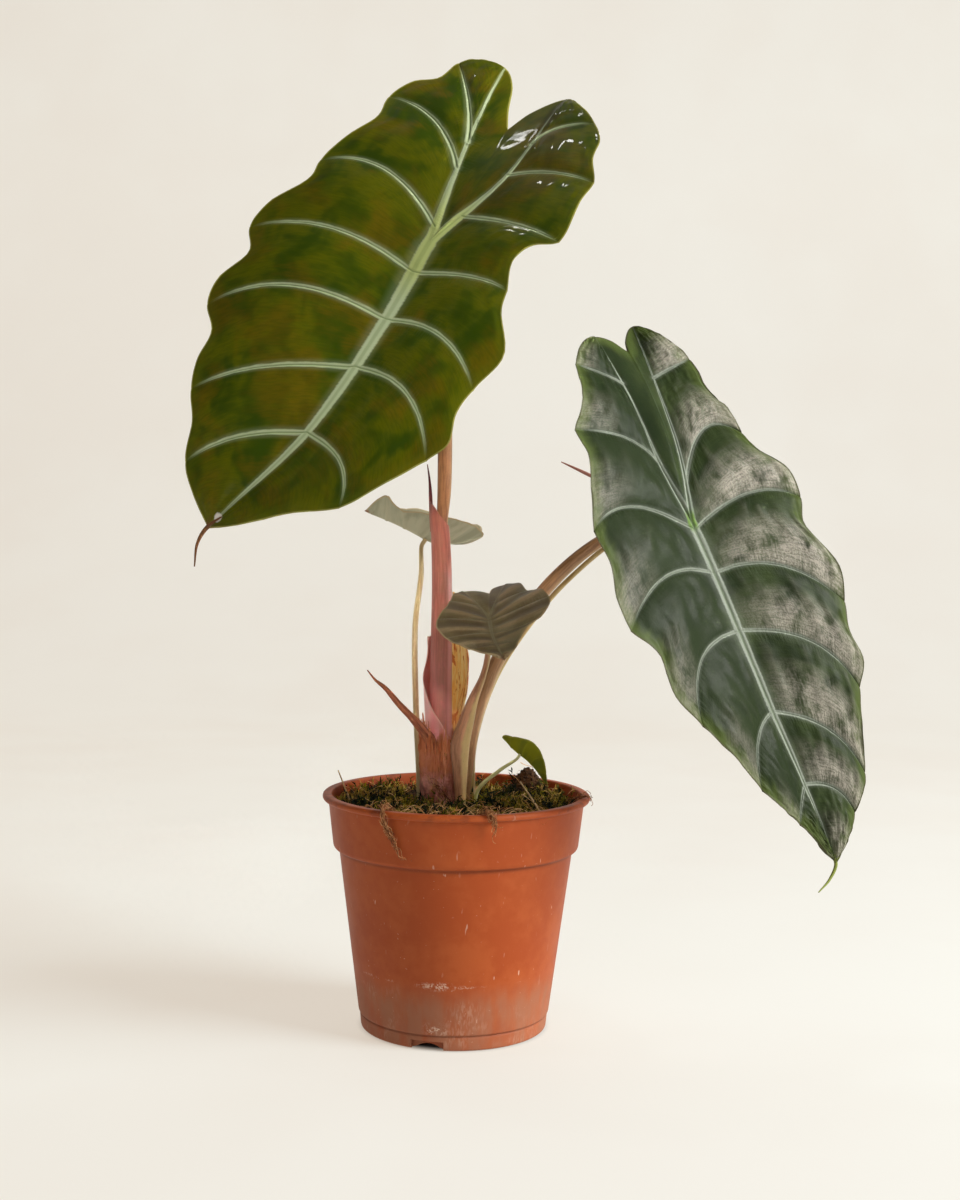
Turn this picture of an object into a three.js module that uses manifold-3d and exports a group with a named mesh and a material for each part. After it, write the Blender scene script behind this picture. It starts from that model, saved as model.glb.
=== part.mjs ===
// A potted Alocasia chantrieri: a 12 cm nursery pot of peat with one clump of leaves standing in it.
// Millimetres, +Z up, origin at the middle of the pot's base. +X is the viewer's right, -Y faces the viewer.
import * as THREE from "three";
import { mergeVertices } from "three/addons/utils/BufferGeometryUtils.js";
import Module from "manifold-3d";

// Driving dimensions.
const POT_HEIGHT = 105;
const LIP_RADIUS = 60;
const COLLAR_RADIUS = { top: 57.3, foot: 55.1 };
const COLLAR_HEIGHT = 24.6; // from the step in the wall to the top of the lip
const WALL_TOP_RADIUS = 52.3; // just below that step
const BASE_RADIUS = 41.4;
const POT_WALL = 1.3;
const POT_FLOOR_Z = 5;
const SOIL_Z = 97;
const GAP = 0.35; // between pieces that touch
const BLADE_THICKNESS = 0.9;
const SHEATH_THICKNESS = 0.8;

const wasm = await Module();
wasm.setup();

const plant = new THREE.Group();

// Colour, roughness and metalness of each finish.
const finish = (color, roughness) => new THREE.MeshStandardMaterial({ color, roughness, metalness: 0 });
const FINISHES = {
  plastic: finish(0xa85531, 0.55),
  peat: finish(0x3a2c1c, 1),
  root: finish(0x6e4a34, 0.95),
  olive: finish(0x43520f, 0.25),
  dark: finish(0x3c4b3c, 0.28),
  brown: finish(0x4b4632, 0.6),
  grey: finish(0x5f6450, 0.6),
  seedling: finish(0x6b7a0c, 0.4),
  petiole: finish(0x96704c, 0.5),
  paleStem: finish(0xa89a68, 0.5),
  pink: finish(0xb4666a, 0.5),
  papery: finish(0xc89a62, 0.8),
  withered: finish(0x80443a, 0.8),
  straw: finish(0xb59a62, 0.9),
};

function add(name, geometry, material) {
  const mesh = new THREE.Mesh(geometry, material);
  mesh.name = name;
  plant.add(mesh);
}

// Closed meshes and solids.
function closedGeometry(points, triangles) {
  const geometry = new THREE.BufferGeometry();
  geometry.setAttribute("position", new THREE.Float32BufferAttribute(points.flatMap((p) => p.toArray()), 3));
  let volume = 0;
  for (const [a, b, c] of triangles) {
    volume += points[a].dot(points[b].clone().cross(points[c]));
  }
  const outward = volume > 0 ? triangles : triangles.map(([a, b, c]) => [a, c, b]);
  geometry.setIndex(outward.flat());
  return geometry;
}

function welded(geometry) {
  const bare = geometry.clone();
  bare.deleteAttribute("normal");
  bare.deleteAttribute("uv");
  return mergeVertices(bare, 1e-4);
}

// The points and triangles of a geometry, without the collapsed triangles that a lathe leaves on its axis.
function meshLists(geometry) {
  const merged = welded(geometry);
  const { position } = merged.attributes;
  const points = [];
  for (let n = 0; n < position.count; n++) {
    points.push(new THREE.Vector3().fromBufferAttribute(position, n));
  }
  const triangles = [];
  for (let n = 0; n < merged.index.count; n += 3) {
    const face = [0, 1, 2].map((corner) => merged.index.getX(n + corner));
    if (new Set(face).size === 3) {
      triangles.push(face);
    }
  }
  return [points, triangles];
}

function solid(geometry) {
  const merged = welded(geometry);
  return new wasm.Manifold(
    new wasm.Mesh({
      numProp: 3,
      vertProperties: merged.attributes.position.array,
      triVerts: new Uint32Array(merged.index.array),
    }),
  );
}

function geometryOf(manifold) {
  const mesh = manifold.getMesh();
  const geometry = new THREE.BufferGeometry();
  geometry.setAttribute("position", new THREE.BufferAttribute(mesh.vertProperties, 3));
  geometry.setIndex(new THREE.BufferAttribute(mesh.triVerts, 1));
  return geometry;
}

// A surface given twice, by its upper and its lower points with the same triangles, closed round its edge.
function closedSheet(upper, lower, triangles) {
  const count = upper.length;
  const edges = new Map();
  const faces = [];
  for (const [a, b, c] of triangles) {
    faces.push([a, b, c], [a + count, c + count, b + count]);
    for (const [from, to] of [[a, b], [b, c], [c, a]]) {
      if (edges.has(`${to},${from}`)) {
        edges.delete(`${to},${from}`);
      } else {
        edges.set(`${from},${to}`, [from, to]);
      }
    }
  }
  for (const [from, to] of edges.values()) {
    faces.push([to, from, from + count], [to, from + count, to + count]);
  }
  return closedGeometry([...upper, ...lower], faces);
}

// A stem along a smooth path. Each station is [x, y, z, half width across the view, half depth].
function stem(stations, steps, sides, swell = 0) {
  const path = new THREE.CatmullRomCurve3(stations.map(([x, y, z]) => new THREE.Vector3(x, y, z)));
  const size = (t, column) => {
    const place = t * (stations.length - 1);
    const before = Math.min(Math.floor(place), stations.length - 2);
    const [from, to] = [stations[before], stations[before + 1]];
    const width = (station) => station[column] ?? station[3];
    return THREE.MathUtils.lerp(width(from), width(to), place - before) + swell;
  };
  const toViewer = new THREE.Vector3(0, -1, 0);
  const points = [];
  for (let step = 0; step <= steps; step++) {
    const t = step / steps;
    const centre = path.getPoint(t);
    const along = path.getTangent(t);
    const right = along.clone().cross(toViewer).normalize();
    const front = right.clone().cross(along);
    for (let side = 0; side < sides; side++) {
      const turn = (2 * Math.PI * side) / sides;
      points.push(
        centre
          .clone()
          .addScaledVector(right, size(t, 3) * Math.cos(turn))
          .addScaledVector(front, size(t, 4) * Math.sin(turn)),
      );
    }
  }
  const triangles = [];
  for (let step = 0; step < steps; step++) {
    for (let side = 0; side < sides; side++) {
      const a = step * sides + side;
      const b = step * sides + ((side + 1) % sides);
      triangles.push([a, b, b + sides], [a, b + sides, a + sides]);
    }
  }
  const last = steps * sides;
  for (let side = 1; side < sides - 1; side++) {
    triangles.push([0, side + 1, side], [last, last + side, last + side + 1]);
  }
  return closedGeometry(points, triangles);
}

// The plain hole that a stem stands in: the stem itself, a little thicker and deeper.
function stemHole(stations, sides) {
  const [x, y, z, ...sizes] = stations[0];
  const deeper = [[x, y, z - GAP, ...sizes], ...stations.slice(1)];
  return solid(stem(deeper, 3 * stations.length, sides, GAP));
}

// Leaf blades. A blade lies in its own plane, x from the petiole's joint to the tip and y to the
// viewer's right. Side veins leave the midrib (root above 0) or a posterior rib (root below 0) at that x,
// pass through a middle point and end on the edge. Between them the edge passes the points of `edge`.
const ACROSS = [0, 0.08, 0.3, 0.5, 0.7, 0.92, 1]; // from one vein to the next
const OUTWARD = [0, 0.1, 0.35, 0.65, 0.9, 1]; // from the midrib to the edge
const COARSE_ACROSS = [0, 0.25, 0.5, 0.75, 1];
const COARSE_OUTWARD = [0, 0.2, 0.6, 1];
const VEIN_KEEL = 0.42; // keel of a side vein, as a share of the midrib's

const flat = ([x, y]) => new THREE.Vector3(x, y, 0);
const smooth = (points) => new THREE.CatmullRomCurve3(points.map(flat), false, "centripetal");

function curveAtX(curve, x) {
  const rising = curve.getPoint(1).x > curve.getPoint(0).x;
  let [low, high] = [0, 1];
  for (let halving = 0; halving < 30; halving++) {
    const middle = (low + high) / 2;
    if (curve.getPoint(middle).x < x === rising) {
      low = middle;
    } else {
      high = middle;
    }
  }
  return low;
}

// The plan of one blade: its vertices by name, their places in the plane, and its triangles. `bulge` says
// how much a vertex shares in the swelling between veins, and `rib` in the keel under the blade.
function bladePlan({ midrib, sinus, halves, fine = true }) {
  const across = fine ? ACROSS : COARSE_ACROSS;
  const outward = fine ? OUTWARD : COARSE_OUTWARD;
  const cells = across.length - 1;
  const rows = outward.length - 1;
  const vertices = new Map();
  const triangles = [];
  const put = (name, place, bulge, rib) => {
    if (!vertices.has(name)) {
      vertices.set(name, { index: vertices.size, place, bulge, rib });
    }
    return vertices.get(name).index;
  };
  const quad = (a, b, c, d, turned) => {
    for (const face of [[a, b, c], [a, c, d]]) {
      if (new Set(face).size === 3) {
        triangles.push(turned ? [face[0], face[2], face[1]] : face);
      }
    }
  };
  const mid = smooth(midrib);
  const tip = mid.getPoint(1);
  const sides = halves.map(({ rib, sinusEdge, veins, tipEdge }, half) => {
    const back = smooth(rib);
    const ribEnd = back.getPoint(1);
    const edgePoints = [sinus, ...sinusEdge, [ribEnd.x, ribEnd.y]];
    const marks = [edgePoints.length - 1];
    for (const vein of veins) {
      edgePoints.push(...vein.edge, vein.end);
      marks.push(edgePoints.length - 1);
    }
    edgePoints.push(...tipEdge, [tip.x, tip.y]);
    marks.push(edgePoints.length - 1);
    const edge = smooth(edgePoints);
    const onEdge = (panel, u) => {
      const mark = THREE.MathUtils.lerp(marks[panel], marks[panel + 1], u);
      return edge.getPoint(mark / (edgePoints.length - 1));
    };
    // Along the spine: posterior rib from its end to the joint, then the midrib to the tip.
    const roots = [ribEnd.x, ...veins.map((vein) => vein.root), tip.x];
    const backPanels = veins.filter((vein) => vein.root < 0).length;
    const spineAt = (x) => (x < 0 ? back.getPoint(curveAtX(back, x)) : mid.getPoint(curveAtX(mid, x)));
    const onSpine = (panel, u) => {
      const [from, to] = [roots[panel], roots[panel + 1]];
      if (panel !== backPanels) {
        return spineAt(THREE.MathUtils.lerp(from, to, u));
      }
      return spineAt(u < 0.5 ? from * (1 - 2 * u) : to * (2 * u - 1));
    };
    const joint = backPanels * cells + across.indexOf(0.5);
    const lastStep = (veins.length + 1) * cells;
    // The keel is full at the joint and thins towards the lobe and the tip.
    const ribSize = (step) => {
      const thinned = step < joint ? 1 - step / joint : (step - joint) / (lastStep - joint);
      return 1 - 0.8 * thinned;
    };
    const spineName = (step) => (step < joint ? `rib ${half} ${step}` : `midrib ${step}`);
    const spineVertex = (panel, cell) => {
      const step = panel * cells + cell;
      return put(spineName(step), onSpine(panel, across[cell]), 0, ribSize(step));
    };
    const veinAt = (vein, v) => {
      const start = spineAt(vein.root);
      const end = flat(vein.end);
      const via = flat(vein.via).multiplyScalar(2).addScaledVector(start, -0.5).addScaledVector(end, -0.5);
      return new THREE.QuadraticBezierCurve3(start, via, end).getPoint(v);
    };
    const sideCurve = (panel, v) => {
      if (panel === 0) {
        return ribEnd;
      }
      return panel > veins.length ? tip : veinAt(veins[panel - 1], v);
    };
    for (let panel = 0; panel <= veins.length; panel++) {
      const corner = (u, v) => (v ? onEdge(panel, u) : onSpine(panel, u));
      const vertex = (cell, row) => {
        const [u, v] = [across[cell], outward[row]];
        const atTip = panel === veins.length && cell === cells;
        if (row === 0 || (panel === 0 && cell === 0) || atTip) {
          return spineVertex(panel, cell);
        }
        if (cell === 0 || cell === cells) {
          const number = panel + (cell ? 1 : 0);
          return put(`vein ${half} ${number} ${row}`, sideCurve(number, v), 0, VEIN_KEEL * (1 - 0.7 * v));
        }
        const place = sideCurve(panel, v).clone().multiplyScalar(1 - u);
        place.addScaledVector(sideCurve(panel + 1, v), u);
        place.addScaledVector(onSpine(panel, u), 1 - v).addScaledVector(onEdge(panel, u), v);
        for (const [s, t] of [[0, 0], [1, 0], [0, 1], [1, 1]]) {
          place.addScaledVector(corner(s, t), -(s ? u : 1 - u) * (t ? v : 1 - v));
        }
        const bulge = Math.sin(Math.PI * u) ** 0.7 * (1 - (1 - v) ** 3) * (1 - 0.45 * v ** 3);
        return put(`panel ${half} ${panel} ${cell} ${row}`, place, bulge, 0);
      };
      for (let cell = 0; cell < cells; cell++) {
        for (let row = 0; row < rows; row++) {
          const [a, b] = [vertex(cell, row), vertex(cell + 1, row)];
          const [c, d] = [vertex(cell + 1, row + 1), vertex(cell, row + 1)];
          quad(a, b, c, d, half === 0);
        }
      }
    }
    const sinusRun = (u) => edge.getPoint((u * marks[0]) / (edgePoints.length - 1));
    return { joint, onRib: (step) => vertices.get(spineName(step)).place, spineName, sinusRun };
  });
  // Between the two posterior ribs the blade runs out to the notch.
  const { joint } = sides[0];
  const columns = 4;
  const notchVertex = (step, column) => {
    if (step === joint || column === 0 || column === columns) {
      return vertices.get(sides[column === columns ? 1 : 0].spineName(step)).index;
    }
    const s = column / columns;
    const between = (number) => sides[0].onRib(number).clone().lerp(sides[1].onRib(number), s);
    const onNotch = s < 0.5 ? sides[0].sinusRun(1 - 2 * s) : sides[1].sinusRun(2 * s - 1);
    const share = between(step).x / between(0).x;
    const place = between(step).addScaledVector(onNotch.sub(between(0)), share);
    return put(`notch ${step} ${column}`, place, 0, 0);
  };
  for (let step = 0; step < joint; step++) {
    for (let column = 0; column < columns; column++) {
      const [a, b] = [notchVertex(step, column), notchVertex(step, column + 1)];
      const [c, d] = [notchVertex(step + 1, column + 1), notchVertex(step + 1, column)];
      quad(a, b, c, d, true);
    }
  }
  return { vertices: [...vertices.values()], triangles, mid };
}

// The place of a blade in the plant: its joint with the petiole, the way to its tip and its upper side.
function bladeFrame({ joint, toTip, upper }) {
  const x = new THREE.Vector3(...toTip).normalize();
  const z = new THREE.Vector3(...upper);
  z.addScaledVector(x, -z.dot(x)).normalize();
  const y = z.clone().cross(x);
  return (px, py, pz) => {
    const point = new THREE.Vector3(...joint);
    return point.addScaledVector(x, px).addScaledVector(y, py).addScaledVector(z, pz);
  };
}

// How high the upper side stands over the blade's plane: bent along its length, folded at the midrib
// and cupped across. `at` is a point of the plane.
function bladeHeight({ bend, fold, crease, cup, sinus }, mid, at) {
  const radius = at.x > 0 ? bend[0] : bend[1];
  const middle = at.x > 0 ? mid.getPoint(curveAtX(mid, at.x)).y : (at.x * sinus[1]) / sinus[0];
  const off = at.y - middle;
  return (-at.x * at.x) / (2 * radius) + fold * (Math.hypot(off, crease) - crease) - cup * off * off;
}

function blade(leaf) {
  const { vertices, triangles, mid } = bladePlan(leaf);
  const world = bladeFrame(leaf);
  const upper = [];
  const lower = [];
  for (const { place, bulge, rib } of vertices) {
    const height = bladeHeight(leaf, mid, place) + leaf.quilt * bulge;
    upper.push(world(place.x, place.y, height));
    lower.push(world(place.x, place.y, height - BLADE_THICKNESS - leaf.keel * rib));
  }
  const sheet = closedSheet(upper, lower, triangles);
  if (!leaf.drip) {
    return sheet;
  }
  const stations = leaf.drip.map(([x, y, radius]) => {
    const at = flat([x, y]);
    const height = bladeHeight(leaf, mid, at) - BLADE_THICKNESS / 2;
    return [...world(x, y, height).toArray(), radius];
  });
  return geometryOf(solid(sheet).add(solid(stem(stations, 8, 6))));
}

// The last stations of a petiole, which turns square to the blade just clear of the keel below its joint.
function neck(leaf, radius) {
  const end = BLADE_THICKNESS + leaf.keel + GAP;
  const bendStart = end + 2.4 * radius;
  return [bendStart, end].map((depth) => [...bladeFrame(leaf)(0, 0, -depth).toArray(), radius]);
}

// The tall leaf, at the left.
const tallLeaf = {
  joint: [-15.4, 8, 350.9],
  toTip: [-0.578, -0.232, -0.782],
  upper: [-0.302, -0.83, 0.469],
  bend: [420, 300],
  fold: 0.3,
  crease: 8,
  cup: 0.0016,
  quilt: 2.6,
  keel: 2.2,
  midrib: [[0, 0], [40, 6], [100, 3], [158, -21]],
  sinus: [-72, -13],
  halves: [
    {
      rib: [[0, 0], [-40, -16], [-105, -42]],
      sinusEdge: [[-82, -21], [-98, -32]],
      veins: [
        { root: -55, via: [-74, -37], end: [-94, -60], edge: [[-102, -53]] },
        { root: -40, via: [-57, -43], end: [-57, -70], edge: [[-80, -59], [-70, -67]] },
        { root: -8, via: [-21, -42], end: [-10, -72], edge: [[-43, -65], [-28, -69]] },
        { root: 16, via: [17, -43], end: [35, -80], edge: [[1, -69], [21, -79]] },
        { root: 41, via: [50, -43], end: [76, -75], edge: [[46, -71], [64, -77]] },
        { root: 66, via: [88, -33], end: [112, -59], edge: [[86, -64], [100, -63]] },
        { root: 101, via: [119, -27], end: [140, -45], edge: [[124, -50]] },
      ],
      tipEdge: [[150, -34]],
    },
    {
      rib: [[0, 0], [-44, 10], [-101, -2]],
      sinusEdge: [[-87, -11]],
      veins: [
        { root: -67, via: [-80, 11], end: [-90, 26], edge: [[-98, 11]] },
        { root: -46, via: [-54, 31], end: [-56, 54], edge: [[-80, 38], [-68, 44]] },
        { root: -18, via: [-22, 36], end: [-21, 62], edge: [[-43, 57]] },
        { root: 16, via: [9, 33], end: [9, 56], edge: [[-14, 52], [-5, 49]] },
        { root: 41, via: [39, 40], end: [55, 72], edge: [[19, 61], [37, 76]] },
        { root: 66, via: [68, 42], end: [90, 71], edge: [[67, 72], [80, 77]] },
        { root: 101, via: [107, 31], end: [124, 43], edge: [[108, 58]] },
      ],
      tipEdge: [[136, 20], [150, -3]],
    },
  ],
  drip: [[148, -14, 0.8], [158, -22, 1], [166, -23, 0.7], [175, -19, 0.35]],
};

// The leaf that arches out to the right.
const archingLeaf = {
  joint: [97.3, -45, 228.6],
  toTip: [0.381, -0.2, -0.903],
  upper: [0.352, -0.871, 0.342],
  bend: [420, 320],
  fold: 0.32,
  crease: 8,
  cup: 0.0018,
  quilt: 4,
  keel: 2,
  midrib: [[0, 0], [42, 2], [85, 6], [119, 12], [155, 19]],
  sinus: [-82, 11],
  halves: [
    {
      rib: [[0, 0], [-27, -3], [-59, -1], [-92, -1]],
      sinusEdge: [[-89, 6]],
      veins: [
        { root: -67, via: [-73, -9], end: [-80, -20], edge: [[-89, -12]] },
        { root: -28, via: [-42, -15], end: [-50, -38], edge: [[-68, -25], [-58, -31]] },
        { root: 4, via: [-12, -28], end: [-6, -51], edge: [[-37, -39], [-22, -45]] },
        { root: 24, via: [20, -26], end: [37, -52], edge: [[9, -51], [24, -54]] },
        { root: 50, via: [57, -23], end: [82, -33], edge: [[49, -44], [66, -43]] },
        { root: 86, via: [96, -7], end: [115, -12], edge: [[98, -23]] },
        { root: 119, via: [127, 7], end: [134, 4], edge: [[126, -4]] },
      ],
      tipEdge: [[149, 13]],
    },
    {
      rib: [[0, 0], [-27, 8], [-60, 14], [-93, 20]],
      sinusEdge: [[-87, 13]],
      veins: [
        { root: -66, via: [-68, 26], end: [-69, 34], edge: [[-83, 28]] },
        { root: -15, via: [-36, 23], end: [-29, 38], edge: [[-52, 33], [-40, 37]] },
        { root: 4, via: [-3, 29], end: [6, 50], edge: [[-20, 40], [-8, 49]] },
        { root: 24, via: [30, 29], end: [54, 52], edge: [[17, 46], [38, 54]] },
        { root: 50, via: [64, 31], end: [90, 47], edge: [[65, 49], [80, 51]] },
        { root: 86, via: [101, 28], end: [124, 40], edge: [[106, 42]] },
        { root: 119, via: [125, 25], end: [138, 32], edge: [] },
      ],
      tipEdge: [[147, 26]],
    },
  ],
  drip: [[148, 17, 0.8], [155, 19, 0.8], [160, 14, 0.6], [163, 6, 0.3]],
};

// The small leaf behind the tall petiole, folded along its midrib with its tip crumpled upwards.
const backLeaf = {
  joint: [-16, 30, 219],
  toTip: [-0.87, -0.1, 0.48],
  upper: [0.48, 0, 0.88],
  bend: [150, -24],
  fold: 0.9,
  crease: 2.5,
  cup: 0.005,
  quilt: 1,
  keel: 0.8,
  fine: false,
  midrib: [[0, 0], [15, 0], [31, 0]],
  sinus: [-16, 0],
  halves: [
    {
      rib: [[0, 0], [-11, -3], [-22, -7]],
      sinusEdge: [[-20, -3]],
      veins: [
        { root: -9, via: [-12, -9], end: [-14, -15], edge: [[-20, -12]] },
        { root: 2, via: [0, -9], end: [1, -16], edge: [[-7, -17]] },
        { root: 11, via: [12, -6], end: [14, -11], edge: [[8, -14]] },
        { root: 20, via: [22, -3], end: [24, -6], edge: [[19, -8]] },
      ],
      tipEdge: [[28, -3]],
    },
    {
      rib: [[0, 0], [-11, 3], [-22, 6]],
      sinusEdge: [[-20, 3]],
      veins: [
        { root: -9, via: [-12, 10], end: [-14, 17], edge: [[-20, 10]] },
        { root: 2, via: [1, 9], end: [2, 16], edge: [[-6, 19]] },
        { root: 11, via: [14, 6], end: [16, 10], edge: [[9, 13]] },
        { root: 20, via: [23, 8], end: [26, 15], edge: [[21, 11]] },
      ],
      tipEdge: [[29, 10]],
    },
  ],
};

// The small matt leaf in front, which points at the viewer.
const frontLeaf = {
  joint: [13.3, -32, 185.7],
  toTip: [0.13, -0.85, -0.51],
  upper: [-0.05, -0.5, 0.86],
  bend: [90, 90],
  fold: 0.12,
  crease: 5,
  cup: 0.004,
  quilt: 1.4,
  keel: 0.9,
  fine: false,
  midrib: [[0, 0], [13, 0], [26, 3]],
  sinus: [-23, 3],
  halves: [
    {
      rib: [[0, 0], [-14, -4], [-28, -8]],
      sinusEdge: [[-27, -1]],
      veins: [
        { root: -11, via: [-15, -10], end: [-18, -15], edge: [[-25, -12]] },
        { root: 2, via: [-1, -12], end: [-3, -22], edge: [[-10, -18]] },
        { root: 10, via: [10, -10], end: [11, -20], edge: [[5, -23]] },
        { root: 17, via: [18, -6], end: [19, -11], edge: [[16, -16]] },
      ],
      tipEdge: [[23, -4]],
    },
    {
      rib: [[0, 0], [-15, 5], [-33, 11]],
      sinusEdge: [[-29, 5]],
      veins: [
        { root: -11, via: [-17, 12], end: [-21, 20], edge: [[-31, 17]] },
        { root: 2, via: [-5, 14], end: [-14, 28], edge: [[-21, 25]] },
        { root: 10, via: [9, 11], end: [3, 22], edge: [[-5, 27]] },
        { root: 17, via: [17, 6], end: [16, 11], edge: [[9, 16]] },
      ],
      tipEdge: [[22, 8]],
    },
  ],
};

// A small leaf of even shape: `length` from the joint to the tip, `back` from it to the lobes' ends.
// Its veins and edge are given as shares of the length, of the back and of the half width. The lobes'
// ends are `taper` times as wide.
function smallLeaf({ length, back, halfWidth, notch, taper = 1, ...rest }) {
  const half = (side) => {
    const reach = (x) => halfWidth * (x < 0 ? 1 + x * (1 - taper) : 1);
    const at = (x, y) => [x < 0 ? x * back : x * length, side * y * reach(x)];
    return {
      rib: [[0, 0], at(-0.5, 0.16), at(-1, 0.4)],
      sinusEdge: [at(-0.95, 0.2)],
      veins: [
        { root: -0.45 * back, via: at(-0.62, 0.5), end: at(-0.66, 0.86), edge: [at(-0.93, 0.66)] },
        { root: 0.08 * length, via: at(-0.02, 0.55), end: at(0.02, 1), edge: [at(-0.33, 0.95)] },
        { root: 0.34 * length, via: at(0.36, 0.45), end: at(0.48, 0.8), edge: [at(0.27, 0.95)] },
        { root: 0.64 * length, via: at(0.68, 0.25), end: at(0.78, 0.4), edge: [at(0.64, 0.6)] },
      ],
      tipEdge: [at(0.9, 0.18)],
    };
  };
  return {
    midrib: [[0, 0], [length / 2, 0], [length, 0]],
    sinus: [-notch, 0],
    halves: [half(-1), half(1)],
    fine: false,
    ...rest,
  };
}

const rearLeaf = smallLeaf({
  joint: [90, -5, 231],
  toTip: [-0.86, 0.1, 0.5],
  upper: [0.45, -0.25, 0.85],
  length: 36,
  back: 26,
  halfWidth: 21,
  notch: 18,
  bend: [500, 90],
  fold: 0.2,
  crease: 5,
  cup: 0.004,
  quilt: 1.2,
  keel: 0.8,
  drip: [[32, 0, 0.6], [37, 0, 0.8], [44, 0.5, 0.6], [51, 1, 0.3]],
});
const seedlingLeaf = smallLeaf({
  joint: [28.6, -6, 124],
  toTip: [0.82, -0.1, -0.56],
  upper: [0.56, 0.15, 0.82],
  length: 18.5,
  back: 11,
  halfWidth: 10.5,
  notch: 8,
  taper: 0.45,
  bend: [32, -90],
  fold: 0.85,
  crease: 2,
  cup: 0.01,
  quilt: 0.5,
  keel: 0.5,
});

// Petioles: each station is [x, y, z, half width, half depth].
const PETIOLES = {
  tall: [
    [-7.9, 2.5, 118, 2.6],
    [-7.8, 2.5, 150, 2.6],
    [-7.9, 2.5, 195, 2.6],
    [-8.2, 2.5, 224, 2.4],
    [-7.4, 2.6, 242, 3.1],
    [-8.2, 7, 300, 3.1],
    [-9.6, 12.5, 326, 2.9],
    ...neck(tallLeaf, 2.5),
  ],
  arching: [
    [4, -3, 92, 2.1],
    [4.1, -3, 106, 2.1],
    [5.6, -3, 120, 2.4],
    [7.8, -3.3, 137, 2.7],
    [12.6, -4, 153, 3],
    [18, -5, 166, 3.2],
    [38, -7, 197.1, 3.1],
    [59, -15, 217.3, 2.7],
    [76, -28, 225.5, 2.5],
    ...neck(archingLeaf, 2.2),
  ],
  back: [
    [-14, 11.5, 92, 1.5],
    [-15, 11.5, 110, 1.5],
    [-19.3, 14, 142, 1.4],
    [-20.2, 18, 178.9, 1.3],
    [-18, 24, 202, 1.2],
    ...neck(backLeaf, 1),
  ],
  front: [
    [2, -11, 92, 2.2],
    [1.9, -11, 104, 2.4],
    [1.5, -11, 117, 3.4, 2.8],
    [1.4, -11, 128, 4.2, 3.2],
    [3.9, -12, 138, 3.4, 2.8],
    [6.9, -14.5, 148.4, 2.3],
    [10.9, -19, 159, 1.4],
    [12.9, -24.5, 168, 1.3],
    ...neck(frontLeaf, 1.2),
  ],
  rear: [
    [7, 4.5, 92, 1.3],
    [7, 4.5, 106, 1.3],
    [7.4, 5, 124, 1.2],
    [13, 6, 146.5, 1.2],
    [22, 5, 166, 1.2],
    [40.7, 2, 192.6, 1.15],
    [52, 1, 204.6, 1.1],
    [65.6, -1, 216.6, 1.1],
    [78, -3.5, 224.5, 1.1],
    ...neck(rearLeaf, 0.9),
  ],
  seedling: [
    [8.2, 0, 94, 0.9],
    [9.5, -0.5, 106, 0.9],
    [19, -3.5, 115.5, 0.8],
    ...neck(seedlingLeaf, 0.6),
  ],
};

// The pot, one moulding: a rolled lip on a deep collar, a tapering wall and a foot ring.
const stepZ = POT_HEIGHT - COLLAR_HEIGHT;
const POT_INSIDE = [
  [COLLAR_RADIUS.top - 0.3 - POT_WALL, POT_HEIGHT - 3],
  [COLLAR_RADIUS.foot - POT_WALL, stepZ + 1.8],
  [WALL_TOP_RADIUS - POT_WALL, stepZ - 0.6],
  [BASE_RADIUS + 0.8 - POT_WALL, POT_FLOOR_Z],
];
const POT_PROFILE = [
  [0, 0],
  [14, 0],
  [15.5, 3.6],
  [38.6, 3.6],
  [39.4, 0],
  [BASE_RADIUS, 0],
  [BASE_RADIUS + 0.4, 0.6],
  [BASE_RADIUS + 0.9, 6.2],
  [BASE_RADIUS + 1.5, 6.7],
  [WALL_TOP_RADIUS, stepZ - 1.2],
  [COLLAR_RADIUS.foot, stepZ + 1.4],
  [COLLAR_RADIUS.top, POT_HEIGHT - 3],
  [LIP_RADIUS - 0.7, POT_HEIGHT - 2.7],
  [LIP_RADIUS, POT_HEIGHT - 1.9],
  [LIP_RADIUS, POT_HEIGHT - 0.8],
  [LIP_RADIUS - 0.8, POT_HEIGHT],
  [COLLAR_RADIUS.top - POT_WALL, POT_HEIGHT],
  ...POT_INSIDE,
  [15, POT_FLOOR_Z],
  [13.5, 1.4],
  [0, 1.4],
];
const POT_SIDES = 48;
const NOTCH = { width: 14.5, height: 3.9, turns: [-105, 15, 135] }; // degrees from +X
const DRAIN_RADIUS = 4;

function pot() {
  const profile = POT_PROFILE.map(([radius, z]) => new THREE.Vector2(radius, z));
  const moulding = new THREE.LatheGeometry(profile, POT_SIDES);
  moulding.rotateX(Math.PI / 2);
  let body = solid(closedGeometry(...meshLists(moulding)));
  for (const turn of NOTCH.turns) {
    const notch = new THREE.BoxGeometry(8, NOTCH.width, 2 * NOTCH.height);
    notch.translate(BASE_RADIUS + 1.5, 0, 0);
    notch.rotateZ(THREE.MathUtils.degToRad(turn));
    const drain = new THREE.CylinderGeometry(DRAIN_RADIUS, DRAIN_RADIUS, 4, 16);
    drain.rotateX(Math.PI / 2);
    drain.translate(28, 0, POT_FLOOR_Z - 1);
    drain.rotateZ(THREE.MathUtils.degToRad(turn));
    body = body.subtract(solid(notch)).subtract(solid(drain));
  }
  return geometryOf(body);
}

// Peat that fills the pot, with an uneven mossy top and one clod at the back right.
const SOIL_SIDES = 40;
const SOIL_RINGS = [0.12, 0.26, 0.4, 0.54, 0.68, 0.82, 0.93, 1];
const CLOD = { x: 34, y: 36, height: 13, spread: 5.5 };

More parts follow.
